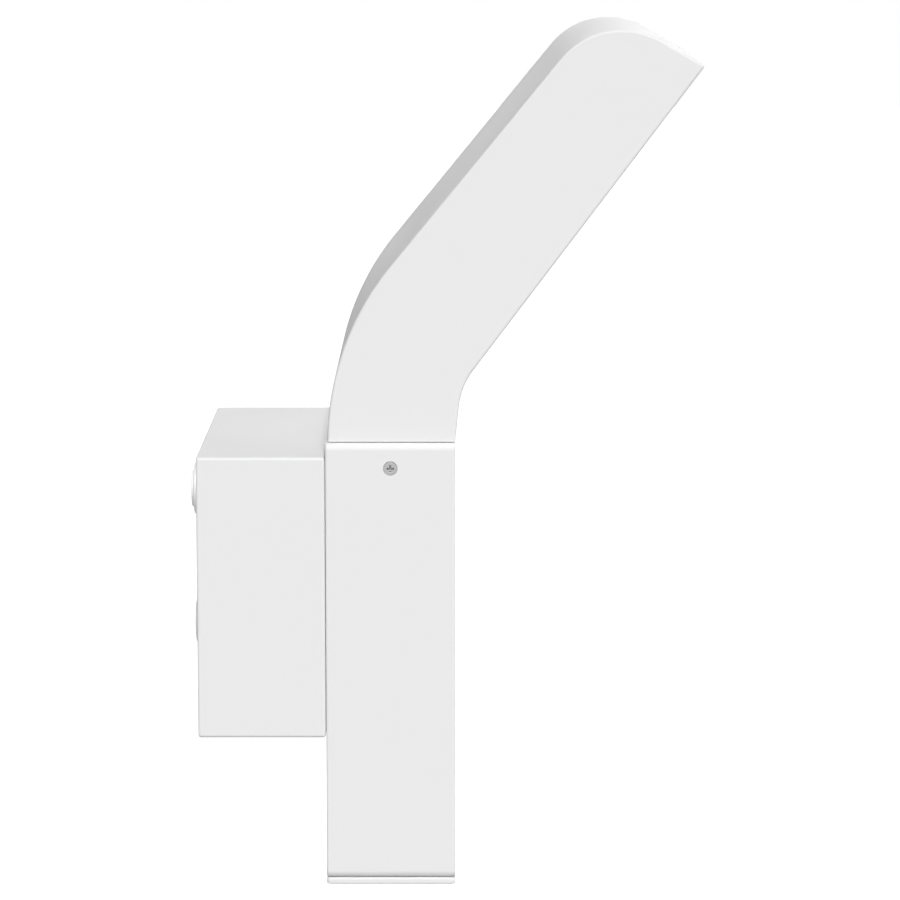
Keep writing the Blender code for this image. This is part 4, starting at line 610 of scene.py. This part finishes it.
def screw(seat, sizes, length):
    """A flat-head cross screw along the frame's third axis, from its tip round to its recess.

    Its rows are circles of the profile's radii, then crosses that narrow towards the bottom."""
    shank, head, height = sizes
    soft, tip = SOFT_SHARE * head, TIP_SHARE * shank
    profile = rounded_profile([(tip, -length, 0), (shank, tip - length, 0), (shank, -height, 0),
                               (head, -soft * RIM_DROP, 0), (head, 0, soft * RIM_ROUND),
                               (head * FACE_SHARE, 0, 0)], steps=4)
    reach, half = head * CROSS_REACH_SHARE, head * CROSS_WIDTH_SHARE
    depth, mouth = height * CROSS_DEPTH_SHARE, head * CROSS_MOUTH_SHARE
    crosses = [(reach * CROSS_MOUTH_LONG + mouth, half * CROSS_MOUTH_WIDE, 0),
               (reach, half, -mouth)]
    crosses += [(reach * long, half * wide, -depth * deep) for long, wide, deep in CROSS_ROWS]
    turn = cross_angles()
    circles = profile[:, 0][:, None] * np.ones_like(turn)
    radius = np.concatenate([circles, [cross_radius(turn, *row[:2]) for row in crosses]])
    heights = np.concatenate([profile[:, 1], [row[2] for row in crosses]])
    return tube(around(seat, radius, heights, turn))


def screw_hole(seat, sizes, length):
    """What a flat-head screw's hole takes away: its shank, and its cone carried past the face."""
    shank, head, height = sizes
    mouth = head + SCREW_GAP + (head - shank) / height * HOLE_RISE
    return turned(seat, [(shank + SCREW_GAP, -length), (shank + SCREW_GAP, -height),
                         (mouth, HOLE_RISE)], steps=48)


# --- objects ---

def mesh_object(name, parts):
    """An object at the origin whose mesh holds the given closed surfaces."""
    starts = np.cumsum([0] + [len(verts) for verts, _ in parts])
    faces = [(np.array(polygon) + start).tolist() for (_, polygons), start in zip(parts, starts)
             for polygon in polygons]
    mesh = bpy.data.meshes.new(name)
    mesh.from_pydata(np.concatenate([verts for verts, _ in parts]).tolist(), [], faces)
    mesh.update()
    shape = bmesh.new()
    shape.from_mesh(mesh)
    bmesh.ops.remove_doubles(shape, verts=shape.verts, dist=MERGE_DISTANCE)
    bmesh.ops.recalc_face_normals(shape, faces=shape.faces)
    shape.to_mesh(mesh)
    shape.free()
    made = bpy.data.objects.new(name, mesh)
    bpy.context.scene.collection.objects.link(made)
    return made


def shaped(made, steps):
    """The object's mesh after Booleans, given as (operation, closed surfaces) in order."""
    tools = []
    for i, (operation, parts) in enumerate(steps):
        for j, part in enumerate(parts):
            tool = mesh_object(f"{made.name}_tool_{i}_{j}", [part])
            tools.append(tool)
            boolean = made.modifiers.new(tool.name, "BOOLEAN")
            boolean.operation = operation
            boolean.solver = "MANIFOLD"
            boolean.object = tool
    graph = bpy.context.evaluated_depsgraph_get()
    mesh = bpy.data.meshes.new_from_object(made.evaluated_get(graph))
    made.modifiers.clear()
    made.data = mesh
    for tool in tools:
        old = tool.data
        bpy.data.objects.remove(tool)
        bpy.data.meshes.remove(old)
    return made


def finished(made, nodes, slot, sharp=SHARP_ANGLE):
    """Shade the piece, let flat faces keep their own normals, and tie it to the frame."""
    made.data.materials.clear()
    made.data.materials.append(material_for(slot))
    made.data.shade_smooth()
    made.data.set_sharp_from_angle(angle=math.radians(sharp))
    weighted = made.modifiers.new("even_shading", "WEIGHTED_NORMAL")
    weighted.mode = "FACE_AREA_WITH_ANGLE"
    weighted.keep_sharp = True
    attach(made, BODY)
    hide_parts(*nodes)
    return made


# --- materials ---

def node_group(name, inputs, outputs):
    """A new shader group with named inputs and outputs, and its two end nodes."""
    group = bpy.data.node_groups.new(name, "ShaderNodeTree")
    for label, kind, default in inputs:
        socket = group.interface.new_socket(label, in_out="INPUT", socket_type=kind)
        if default is not None:
            socket.default_value = default
    for label, kind in outputs:
        group.interface.new_socket(label, in_out="OUTPUT", socket_type=kind)
    return group, group.nodes.new("NodeGroupInput"), group.nodes.new("NodeGroupOutput")


def linked(tree, kind, inputs=None, **settings):
    """A new node with its settings made and its inputs set or linked."""
    made = tree.nodes.new(kind)
    for key, value in settings.items():
        setattr(made, key, value)
    for key, value in (inputs or {}).items():
        if isinstance(value, bpy.types.NodeSocket):
            tree.links.new(value, made.inputs[key])
        else:
            made.inputs[key].default_value = value
    return made


def computed(tree, operation, first, second):
    """Two numbers or sockets combined by an operation."""
    return linked(tree, "ShaderNodeMath", {0: first, 1: second}, operation=operation).outputs[0]


def noise(tree, place, scale, detail, roughness):
    """A noise at a place, from 0 to 1."""
    return linked(tree, "ShaderNodeTexNoise", {"Vector": place, "Scale": scale, "Detail": detail,
                                               "Roughness": roughness}).outputs["Fac"]


def grain_group():
    """Fine grain: two noises added for height, and a broad noise for tone."""
    name = "Fine grain"
    if name in bpy.data.node_groups:
        return bpy.data.node_groups[name]
    group, start, end = node_group(
        name,
        [("Vector", "NodeSocketVector", None), ("Grain size", "NodeSocketFloat", 0.001)],
        [("Height", "NodeSocketFloat"), ("Tone", "NodeSocketFloat"),
         ("Speckle", "NodeSocketFloat")])
    place = start.outputs["Vector"]
    frequency = computed(group, "DIVIDE", 1.0, start.outputs["Grain size"])
    higher = computed(group, "MULTIPLY", frequency, FINE_RATIO)
    coarse = noise(group, place, frequency, detail=1.0, roughness=0.4)
    fine = noise(group, place, higher, detail=2.0, roughness=0.5)
    broad = noise(group, place, TONE_SCALE, detail=3.0, roughness=0.55)
    height = computed(group, "ADD", coarse, computed(group, "MULTIPLY", fine, FINE_SHARE))
    for socket, label in ((height, "Height"), (broad, "Tone"), (fine, "Speckle")):
        group.links.new(socket, end.inputs[label])
    return group


def spread_round(tree, value, middle, spread):
    """A noise's value carried over to the range from middle minus spread to middle plus spread."""
    return linked(tree, "ShaderNodeMapRange",
                  {"Value": value, "From Min": NOISE_LOW, "From Max": NOISE_HIGH,
                   "To Min": middle - spread, "To Max": middle + spread}).outputs["Result"]


def finish_material(name, colour, roughness, grain, bump, metallic=0.0, tone=0.02,
                    speckle=0.01, rough_spread=0.06, stretch=(1, 1, 1), sockets=None):
    """A material of one finish: its colour and roughness vary with the grain, and so does bump.

    Grain is the size of the grain and bump is how high it stands, both in millimetres."""
    made = bpy.data.materials.new(name)
    made.use_nodes = True
    tree = made.node_tree
    shader = tree.nodes["Principled BSDF"]
    shader.inputs["Metallic"].default_value = metallic
    for key, value in (sockets or {}).items():
        shader.inputs[key].default_value = value
    place = linked(tree, "ShaderNodeTexCoord")
    mapping = linked(tree, "ShaderNodeMapping",
                     {"Vector": place.outputs["Object"], "Scale": stretch})
    grains = linked(tree, "ShaderNodeGroup", {"Vector": mapping.outputs["Vector"],
                                              "Grain size": grain * MM}, node_tree=grain_group())
    colour = np.array(colour)
    darker, lighter = ((*np.clip(colour * share, 0, 1), 1) for share in (1 - tone, 1 + tone))
    tones = linked(tree, "ShaderNodeMix", {"Factor": grains.outputs["Tone"], "A": darker,
                                           "B": lighter}, data_type="RGBA")
    specks = spread_round(tree, grains.outputs["Speckle"], 1, speckle)
    shade = linked(tree, "ShaderNodeMix", {"Factor": 1.0, "A": tones.outputs["Result"],
                                           "B": specks}, data_type="RGBA", blend_type="MULTIPLY")
    tree.links.new(shade.outputs["Result"], shader.inputs["Base Color"])
    tree.links.new(spread_round(tree, grains.outputs["Tone"], roughness, rough_spread),
                   shader.inputs["Roughness"])
    relief = linked(tree, "ShaderNodeBump",
                    {"Height": grains.outputs["Height"], "Strength": 1.0,
                     "Distance": bump * MM})
    tree.links.new(relief.outputs["Normal"], shader.inputs["Normal"])
    return made


def material_for(slot):
    """The finish of one of the record's material slots, made the first time it is asked for."""
    name = f"{slot}_finish"
    if name in bpy.data.materials:
        return bpy.data.materials[name]
    colours = bpy.context.scene.wall_light_finish
    recipes = {
        "white_paint": dict(colour=colours.paint, roughness=colours.paint_roughness, grain=0.7,
                            bump=0.006, tone=0.006, speckle=0.006,
                            sockets={"Specular IOR Level": 0.14}),
        "zinc_steel": dict(colour=(0.40, 0.41, 0.42), roughness=0.42, metallic=1.0, grain=1.2,
                           bump=0.006, tone=0.22, speckle=0.10, rough_spread=0.08),
        "screw_steel": dict(colour=colours.steel, roughness=0.42, metallic=1.0, grain=0.25,
                            bump=0.002, tone=0.05, speckle=0.03),
        "aluminium": dict(colour=(0.70, 0.71, 0.72), roughness=0.38, metallic=1.0, grain=0.3,
                          bump=0.004, tone=0.04, speckle=0.05, stretch=(1, 0.06, 0.06)),
        "grey_rubber": dict(colour=colours.rubber, roughness=0.36, grain=0.35, bump=0.004,
                            tone=0.03, speckle=0.03),
        "black_rubber": dict(colour=(0.035, 0.035, 0.035), roughness=0.62, grain=0.35,
                             bump=0.008, tone=0.10, speckle=0.08),
        "white_plastic": dict(colour=(0.80, 0.80, 0.79), roughness=0.38, grain=0.6, bump=0.006,
                              tone=0.01),
        "opal_plastic": dict(colour=colours.opal, roughness=0.38, grain=0.5, bump=0.002,
                             tone=0.008, speckle=0.004),
        "board_white": dict(colour=(0.80, 0.81, 0.80), roughness=0.38, grain=0.4, bump=0.003,
                            tone=0.01),
    }
    for wire, colour in WIRE_COLOURS.items():
        recipes[wire] = dict(colour=colour, roughness=0.42, grain=0.4, bump=0.004)
    return finish_material(name, **recipes[slot])


# --- pieces ---

class WALLLIGHT_OT_head(bpy.types.Operator):
    """Make the bent head: a prism with round edges, its hollow, spigot and light opening"""

    bl_idname = "wall_light.head"
    bl_label = "Head"

    def execute(self, context):
        shape = context.scene.wall_light_shape
        insets, places = edge_rows(HEAD_X, shape.head_edge, shape.edge_steps)
        made = mesh_object("head_casting", [
            head_prism(insets, places, insets * FLOOR_EDGE_SHARE - SEAM_CLOSE)])
        inner_x, half_wall = HEAD_X - HEAD_WALL, HEAD_WALL / 2
        cavity = head_prism([HEAD_WALL] * 2, [-inner_x, inner_x], [HEAD_FLOOR] * 2)
        rim_half = (HEAD_X - half_wall, OPENING_FROM_TIP - half_wall)
        rim = ring(LIGHT, [(rim_half, RIM_LOW), (rim_half, -half_wall),
                           (OPENING_HALF, -half_wall), (OPENING_HALF, RIM_LOW)])
        feet = []
        for foot in corner_frames(*ENGINE_HALF, 0):
            along = (foot[:, 3] - LIGHT[:, 3]) @ LIGHT[:, 1]
            feet.append(rod(foot, FOOT_RADIUS, half_wall - head_depth(along), FOOT_TOP))
        spigot = slab(POST, (PLUG_X, PLUG_HALF_DEPTH), SPIGOT_BOTTOM, HEAD_BASE + HEAD_FLOOR / 2)
        way = slab(POST, (PLUG_X - SPIGOT_WALL, PLUG_HALF_DEPTH - SPIGOT_WALL),
                   SPIGOT_BOTTOM - OVERRUN, HEAD_BASE + HEAD_FLOOR + OVERRUN)
        rebate = slab(LIGHT, BEZEL_HALF + GAP, REBATE_LOW, OVERRUN)
        foot_ways = [rod(foot, *FOOT_WAY) for foot in corner_frames(*ENGINE_HALF, FOOT_TOP)]
        bosses = [rod(seat, *SIDE_BOSS) for seat in side_screw_frames()]
        groove = seal_groove(SPIGOT_GROOVE_TOP - RING_GROOVE_HEIGHT, SPIGOT_GROOVE_TOP)
        side_ways = [rod(seat, *SIDE_WAY) for seat in side_screw_frames()]
        bezel_ways = [rod(seat, *BEZEL_WAY) for seat in bezel_screw_frames()]
        shaped(made, [("DIFFERENCE", [cavity]), ("UNION", [rim, *feet, spigot]),
                      ("DIFFERENCE", [way, rebate, *foot_ways]), ("UNION", bosses),
                      ("DIFFERENCE", [groove, *side_ways, *bezel_ways])])
        finished(made, ["head_shell"], "white_paint")
        return {"FINISHED"}


class WALLLIGHT_OT_post(bpy.types.Operator):
    """Make the post: a tube with round upright edges and round ends on its two sides"""

    bl_idname = "wall_light.post"
    bl_label = "Post"

    def execute(self, context):
        made = mesh_object("post_casting", [self.outside(context.scene.wall_light_shape)])
        inner_x = HALF_WIDTH - POST_WALL
        bore = block((-inner_x, inner_x), (POST_INNER_BACK, POST_INNER_FRONT),
                     (POST_BOTTOM - OVERRUN, POST_TOP + OVERRUN))
        bosses = [rod(seat, *BOLT_BOSS) for seat in box_bolt_frames()]
        bosses += [rod(seat, *DRIVER_BOSS) for seat in driver_frames()]
        low = POST_BOTTOM + CAP_PLUG_HEIGHT
        for side in (-1, 1):
            x = (side * (inner_x - CORNER_BLOCK), side * (inner_x + OVERLAP))
            for u in ((POST_INNER_BACK - OVERLAP, POST_INNER_BACK + CORNER_BLOCK),
                      (POST_INNER_FRONT - CORNER_BLOCK, POST_INNER_FRONT + OVERLAP)):
                bosses.append(block(x, u, (low, low + CORNER_BLOCK_HEIGHT)))
        cuts = [screw_hole(seat, SMALL, POST_WALL + OVERRUN) for seat in side_screw_frames()]
        cuts += [rod(seat, *BOLT_WAY_IN_POST) for seat in box_bolt_frames()]
        cuts += [rod(seat, *CAP_SCREW_WAY) for seat in cap_screw_frames()]
        cuts += [rod(seat, *DRIVER_WAY) for seat in driver_frames()]
        cuts.append(rod(PASSAGE, PASSAGE_RADIUS + GAP, POST_BACK - OVERRUN,
                        POST_INNER_BACK + OVERRUN, steps=64))
        shaped(made, [("DIFFERENCE", [bore]), ("UNION", bosses), ("DIFFERENCE", cuts)])
        finished(made, ["post_shell"], "white_paint")
        return {"FINISHED"}

    @staticmethod
    def outside(shape):
        """Round-edged rectangles up the post, drawn in across at both ends by a quarter circle."""
        inset, rise = quarter(POST_END_RADIUS, POST_END_STEPS)
        inset = np.concatenate([inset, inset[::-1]])
        heights = np.concatenate([POST_BOTTOM + rise, POST_TOP - rise[::-1]])
        loops = rounded_loop(HALF_WIDTH - inset, np.full_like(inset, POST_HALF_DEPTH),
                             shape.post_edge, shape.edge_steps + 1)
        return lofted(POST, loops, heights)


class WALLLIGHT_OT_box(bpy.types.Operator):
    """Make the rear box: five walls with a rounded front rim, open to the wall"""

    bl_idname = "wall_light.box"
    bl_label = "Rear box"

    def execute(self, context):
        shape = context.scene.wall_light_shape
        edge = shape.box_edge
        made = mesh_object("box_casting", [
            slab(WALL, (HALF_WIDTH, HALF_BOX), 0, BOX_DEPTH + BOX_CLOSE, edge,
                 shape.box_back_edge, edge, shape.edge_steps)])
        cavity = slab(WALL, (HALF_WIDTH - BOX_WALL, HALF_BOX - BOX_WALL), -OVERRUN, BOX_INNER_U)
        terminals = [toward_wall(x, BOX_INNER_U, TERMINAL_Z) for x in (-TERMINAL_X, TERMINAL_X)]
        bosses = [rod(seat, *TERMINAL_BOSS) for seat in terminals]
        bosses.append(rod(toward_wall(EARTH_X, BOX_INNER_U, EARTH_Z), *EARTH_BOSS))
        cuts = [screw_hole(seat, MEDIUM, LOCK_SCREW_LENGTH) for seat in lock_screw_frames()]
        cuts += [rod(seat, *BOLT_WAY_IN_BOX) for seat in box_bolt_frames()]
        cuts += [rod(seat, *TERMINAL_WAY) for seat in terminals]
        cuts.append(rod(toward_wall(EARTH_X, BOX_INNER_U - EARTH_HEIGHT, EARTH_Z), *EARTH_WAY))
        cuts.append(rod(PASSAGE, PASSAGE_RADIUS + GAP, BOX_INNER_U - OVERRUN,
                        BOX_DEPTH + OVERRUN, steps=64))
        cuts.append(turned(PASSAGE, PASSAGE_GROOVE, joined=True))
        shaped(made, [("DIFFERENCE", [cavity]), ("UNION", bosses), ("DIFFERENCE", cuts)])
        finished(made, ["rear_box"], "white_paint")
        return {"FINISHED"}


class WALLLIGHT_OT_cap(bpy.types.Operator):
    """Make the bottom cap: a thin plate with soft edges and a plug inside the post"""

    bl_idname = "wall_light.cap"
    bl_label = "Bottom cap"

    def execute(self, context):
        shape = context.scene.wall_light_shape
        top = POST_BOTTOM - GAP
        made = mesh_object("cap_casting", [
            slab(POST, (HALF_WIDTH, POST_HALF_DEPTH), top - CAP_THICKNESS, top + CAP_CLOSE,
                 CORNER, CAP_SOFT, CAP_SOFT, shape.edge_steps)])
        plug = slab(POST, (PLUG_X, PLUG_HALF_DEPTH), top - OVERLAP, top + CAP_PLUG_HEIGHT)
        groove_low = top + CAP_GROOVE_RISE
        groove = seal_groove(groove_low, groove_low + RING_GROOVE_HEIGHT)
        pocket = slab(POST, (PLUG_X - CAP_PLUG_WALL, PLUG_HALF_DEPTH - CAP_PLUG_WALL), top,
                      top + CAP_PLUG_HEIGHT + OVERRUN)
        holes = [screw_hole(seat, MEDIUM, CAP_SCREW_LENGTH + GAP) for seat in cap_screw_frames()]
        shaped(made, [("UNION", [plug]), ("DIFFERENCE", [groove, pocket, *holes])])
        finished(made, ["bottom_cap"], "white_paint")
        return {"FINISHED"}


class WALLLIGHT_OT_light_opening(bpy.types.Operator):
    """Make the bezel with its fine bevels and the opal pane behind it"""

    bl_idname = "wall_light.light_opening"
    bl_label = "Bezel and pane"

    def execute(self, context):
        low, high, soft = REBATE_LOW + GAP, -BEZEL_RECESS, BEZEL_SOFT
        pocket = PANE_HALF + GAP
        # Shares of the bevel put one row inside each of its two rounded edges.
        loops = [(BEZEL_HALF, low), (BEZEL_HALF, high - soft),
                 (BEZEL_HALF - soft * 0.3, high - soft * 0.3), (BEZEL_HALF - soft, high),
                 (WINDOW_HALF + soft * 2, high), (WINDOW_HALF + soft * 0.6, high - soft * 0.3),
                 (WINDOW_HALF, high - soft * 1.2), (WINDOW_HALF, LIP_LOW), (pocket, LIP_LOW),
                 (pocket, low)]
        made = mesh_object("bezel_frame", [ring(LIGHT, loops, steps=8)])
        shaped(made, [("DIFFERENCE", [screw_hole(seat, SMALL, BEZEL_SCREW_LENGTH)
                                      for seat in bezel_screw_frames()])])
        finished(made, ["bezel"], "white_paint")
        pane = mesh_object("opal_plate", [slab(LIGHT, PANE_HALF, PANE_LOW, PANE_HIGH, CORNER,
                                               PANE_SOFT, PANE_SOFT, steps=3)])
        finished(pane, ["opal_pane"], "opal_plastic")
        return {"FINISHED"}


class WALLLIGHT_OT_cable_entries(bpy.types.Operator):
    """Turn the two rubber cable entries with their soft stepped noses"""

    bl_idname = "wall_light.cable_entries"
    bl_label = "Cable entries"

    def execute(self, context):
        for name, (height, radius, nose, boss) in ENTRIES.items():
            tip = -nose - boss
            rows = [(ENTRY_AXIS, tip, 0)]
            if boss:
                rows += [(ENTRY_BOSS_RADIUS, tip, 0.35 * MM),
                         (ENTRY_BOSS_RADIUS, -nose, 0.25 * MM)]
            rows += [(radius, -nose, 0.6 * MM), (radius, ENTRY_INSIDE, 0),
                     (radius + ENTRY_LIP, ENTRY_INSIDE, 0),
                     (radius + ENTRY_LIP, ENTRY_FLANGE, 0.5 * MM),
                     (ENTRY_BORE, ENTRY_FLANGE, 0.2 * MM), (ENTRY_BORE, tip + ENTRY_SKIN, 0),
                     (ENTRY_AXIS, tip + ENTRY_SKIN, 0)]
            made = mesh_object(f"{name}_rubber", [
                turned(moved(WALL, 0, height), rounded_profile(rows), steps=96)])
            finished(made, [name], "grey_rubber")
        return {"FINISHED"}


class WALLLIGHT_OT_screws(bpy.types.Operator):
    """Make every screw with its cross recess, seated where the frame's own screw is"""

    bl_idname = "wall_light.screws"
    bl_label = "Screws"

    def execute(self, context):
        groups = (
            ("side_screw", ("left", "right"), side_screw_frames(), SMALL, SIDE_SCREW_LENGTH),
            ("bottom_cap_screw", (1, 2, 3, 4), cap_screw_frames(), MEDIUM, CAP_SCREW_LENGTH),
            ("box_lock_screw", (1, 2), lock_screw_frames(), MEDIUM, LOCK_SCREW_LENGTH),
            ("bezel_screw", (1, 2, 3, 4), bezel_screw_frames(), SMALL, BEZEL_SCREW_LENGTH))
        for kind, ends, seats, sizes, length in groups:
            for end, seat in zip(ends, seats):
                name = f"{kind}_{end}"
                made = mesh_object(f"{name}_steel", [screw(seat, sizes, length)])
                finished(made, [name], "screw_steel", SCREW_SHARP_ANGLE)
        return {"FINISHED"}


class WALLLIGHT_OT_inner_parts(bpy.types.Operator):
    """Give each piece that keeps the frame's own shape the finish of its slot"""

    bl_idname = "wall_light.inner_parts"
    bl_label = "Inner parts"

    def execute(self, context):
        slots = {row["node"]: row["material_slot"] for row in frame["record"]["subparts"]}
        for name, made in frame["nodes"].items():
            finish = material_for(slots[name])
            if made.material_slots:
                for place in made.material_slots:
                    place.material = finish
            else:
                made.data.materials.append(finish)
        return {"FINISHED"}


class WALLLIGHT_OT_studio(bpy.types.Operator):
    """Set up the camera, the pale floor, the soft lamps and the white surroundings"""

    bl_idname = "wall_light.studio"
    bl_label = "Studio"

    def execute(self, context):
        studio = context.scene.wall_light_studio
        context.scene.view_settings.view_transform = "Standard"
        self.camera(context.scene, studio)
        self.floor(context.scene, studio)
        self.lamps(context.scene, studio)
        self.surroundings(context.scene, studio)
        return {"FINISHED"}

    @staticmethod
    def camera(scene, studio):
        """A long lens beside the light, looking along +X and a little down."""
        data = bpy.data.cameras.new("photo_camera")
        data.lens = studio.lens
        data.sensor_width = 36
        data.clip_end = 50
        made = bpy.data.objects.new("photo_camera", data)
        made.location = studio.camera_place
        made.rotation_euler = (math.pi / 2 - studio.tilt, 0, -math.pi / 2)
        scene.collection.objects.link(made)
        scene.camera = made

    @staticmethod
    def white_to_camera(tree, plain, white):
        """White to what the camera, gloss and glass see, and plain to everything else."""
        path = linked(tree, "ShaderNodeLightPath").outputs
        seen = computed(tree, "MAXIMUM", path["Is Camera Ray"], path["Is Glossy Ray"])
        seen = computed(tree, "MAXIMUM", seen, path["Is Transmission Ray"])
        return linked(tree, "ShaderNodeMixShader", {0: seen, 1: plain.outputs[0],
                                                    2: white.outputs[0]}).outputs[0]

    def floor(self, scene, studio):
        """A wide pale floor that is white to the camera but keeps the light's shadow."""
        corners = np.array([[-1, -1], [1, -1], [1, 1], [-1, 1]]) * FLOOR_HALF
        points = np.column_stack([corners, np.full(4, studio.floor_height)])
        mesh = bpy.data.meshes.new("floor")
        mesh.from_pydata(points.tolist(), [], [[0, 1, 2, 3]])
        made = bpy.data.objects.new("floor", mesh)
        scene.collection.objects.link(made)
        pale = bpy.data.materials.new("pale_floor")
        pale.use_nodes = True
        tree = pale.node_tree
        shader = tree.nodes["Principled BSDF"]
        shader.inputs["Base Color"].default_value = FLOOR_COLOUR
        shader.inputs["Roughness"].default_value = 0.9
        shader.inputs["Specular IOR Level"].default_value = 0.1
        glow = linked(tree, "ShaderNodeEmission", {"Strength": FLOOR_GLOW})
        both = linked(tree, "ShaderNodeAddShader", {0: shader.outputs[0], 1: glow.outputs[0]})
        tree.links.new(self.white_to_camera(tree, shader, both),
                       tree.nodes["Material Output"].inputs["Surface"])
        mesh.materials.append(pale)

    @staticmethod
    def lamps(scene, studio):
        """Wide soft lamps, each shining from its own direction."""
        for name, (way, spread) in LAMPS.items():
            data = bpy.data.lights.new(f"{name}_lamp", "SUN")
            data.energy = getattr(studio, name)
            data.angle = math.radians(spread)
            made = bpy.data.objects.new(f"{name}_lamp", data)
            made.location = np.array(way) * LAMP_DISTANCE
            made.rotation_euler = Vector(way).to_track_quat("Z", "Y").to_euler()
            scene.collection.objects.link(made)

    def surroundings(self, scene, studio):
        """White all round to the camera, and a plain even light for everything else."""
        world = bpy.data.worlds.new("studio")
        world.use_nodes = True
        scene.world = world
        tree = world.node_tree
        even = tree.nodes["Background"]
        even.inputs["Color"].default_value = WHITE
        even.inputs["Strength"].default_value = studio.ambient
        white = linked(tree, "ShaderNodeBackground", {"Color": WHITE, "Strength": 1.0})
        tree.links.new(self.white_to_camera(tree, even, white),
                       tree.nodes["World Output"].inputs["Surface"])


OPERATORS = (WALLLIGHT_OT_studio, WALLLIGHT_OT_inner_parts, WALLLIGHT_OT_head,
             WALLLIGHT_OT_post, WALLLIGHT_OT_box, WALLLIGHT_OT_cap,
             WALLLIGHT_OT_light_opening, WALLLIGHT_OT_cable_entries, WALLLIGHT_OT_screws)


class WALLLIGHT_PT_panel(bpy.types.Panel):
    """The wall light's settings and the steps that make it."""

    bl_idname = "WALLLIGHT_PT_panel"
    bl_label = "Wall Light"
    bl_space_type = "VIEW_3D"
    bl_region_type = "UI"
    bl_category = "Wall Light"

    def draw(self, context):
        for settings in (context.scene.wall_light_finish, context.scene.wall_light_shape,
                         context.scene.wall_light_studio):
            box = self.layout.box()
            for key in settings.__annotations__:
                box.prop(settings, key)
        for operator in OPERATORS:
            self.layout.operator(operator.bl_idname)


GROUPS = {"wall_light_finish": WallLightFinish, "wall_light_shape": WallLightShape,
          "wall_light_studio": WallLightStudio}


def register():
    """Add the settings, the steps and the panel."""
    for name, group in GROUPS.items():
        bpy.utils.register_class(group)
        setattr(bpy.types.Scene, name, bpy.props.PointerProperty(type=group))
    for kind in (*OPERATORS, WALLLIGHT_PT_panel):
        bpy.utils.register_class(kind)


def unregister():
    """Take the panel, the steps and the settings away again."""
    for kind in (WALLLIGHT_PT_panel, *reversed(OPERATORS)):
        bpy.utils.unregister_class(kind)
    for name, group in GROUPS.items():
        delattr(bpy.types.Scene, name)
        bpy.utils.unregister_class(group)


def main():
    """Make everything in order."""
    register()
    for operator in OPERATORS:
        category, name = operator.bl_idname.split(".")
        getattr(getattr(bpy.ops, category), name)()


if __name__ == "__main__":
    main()
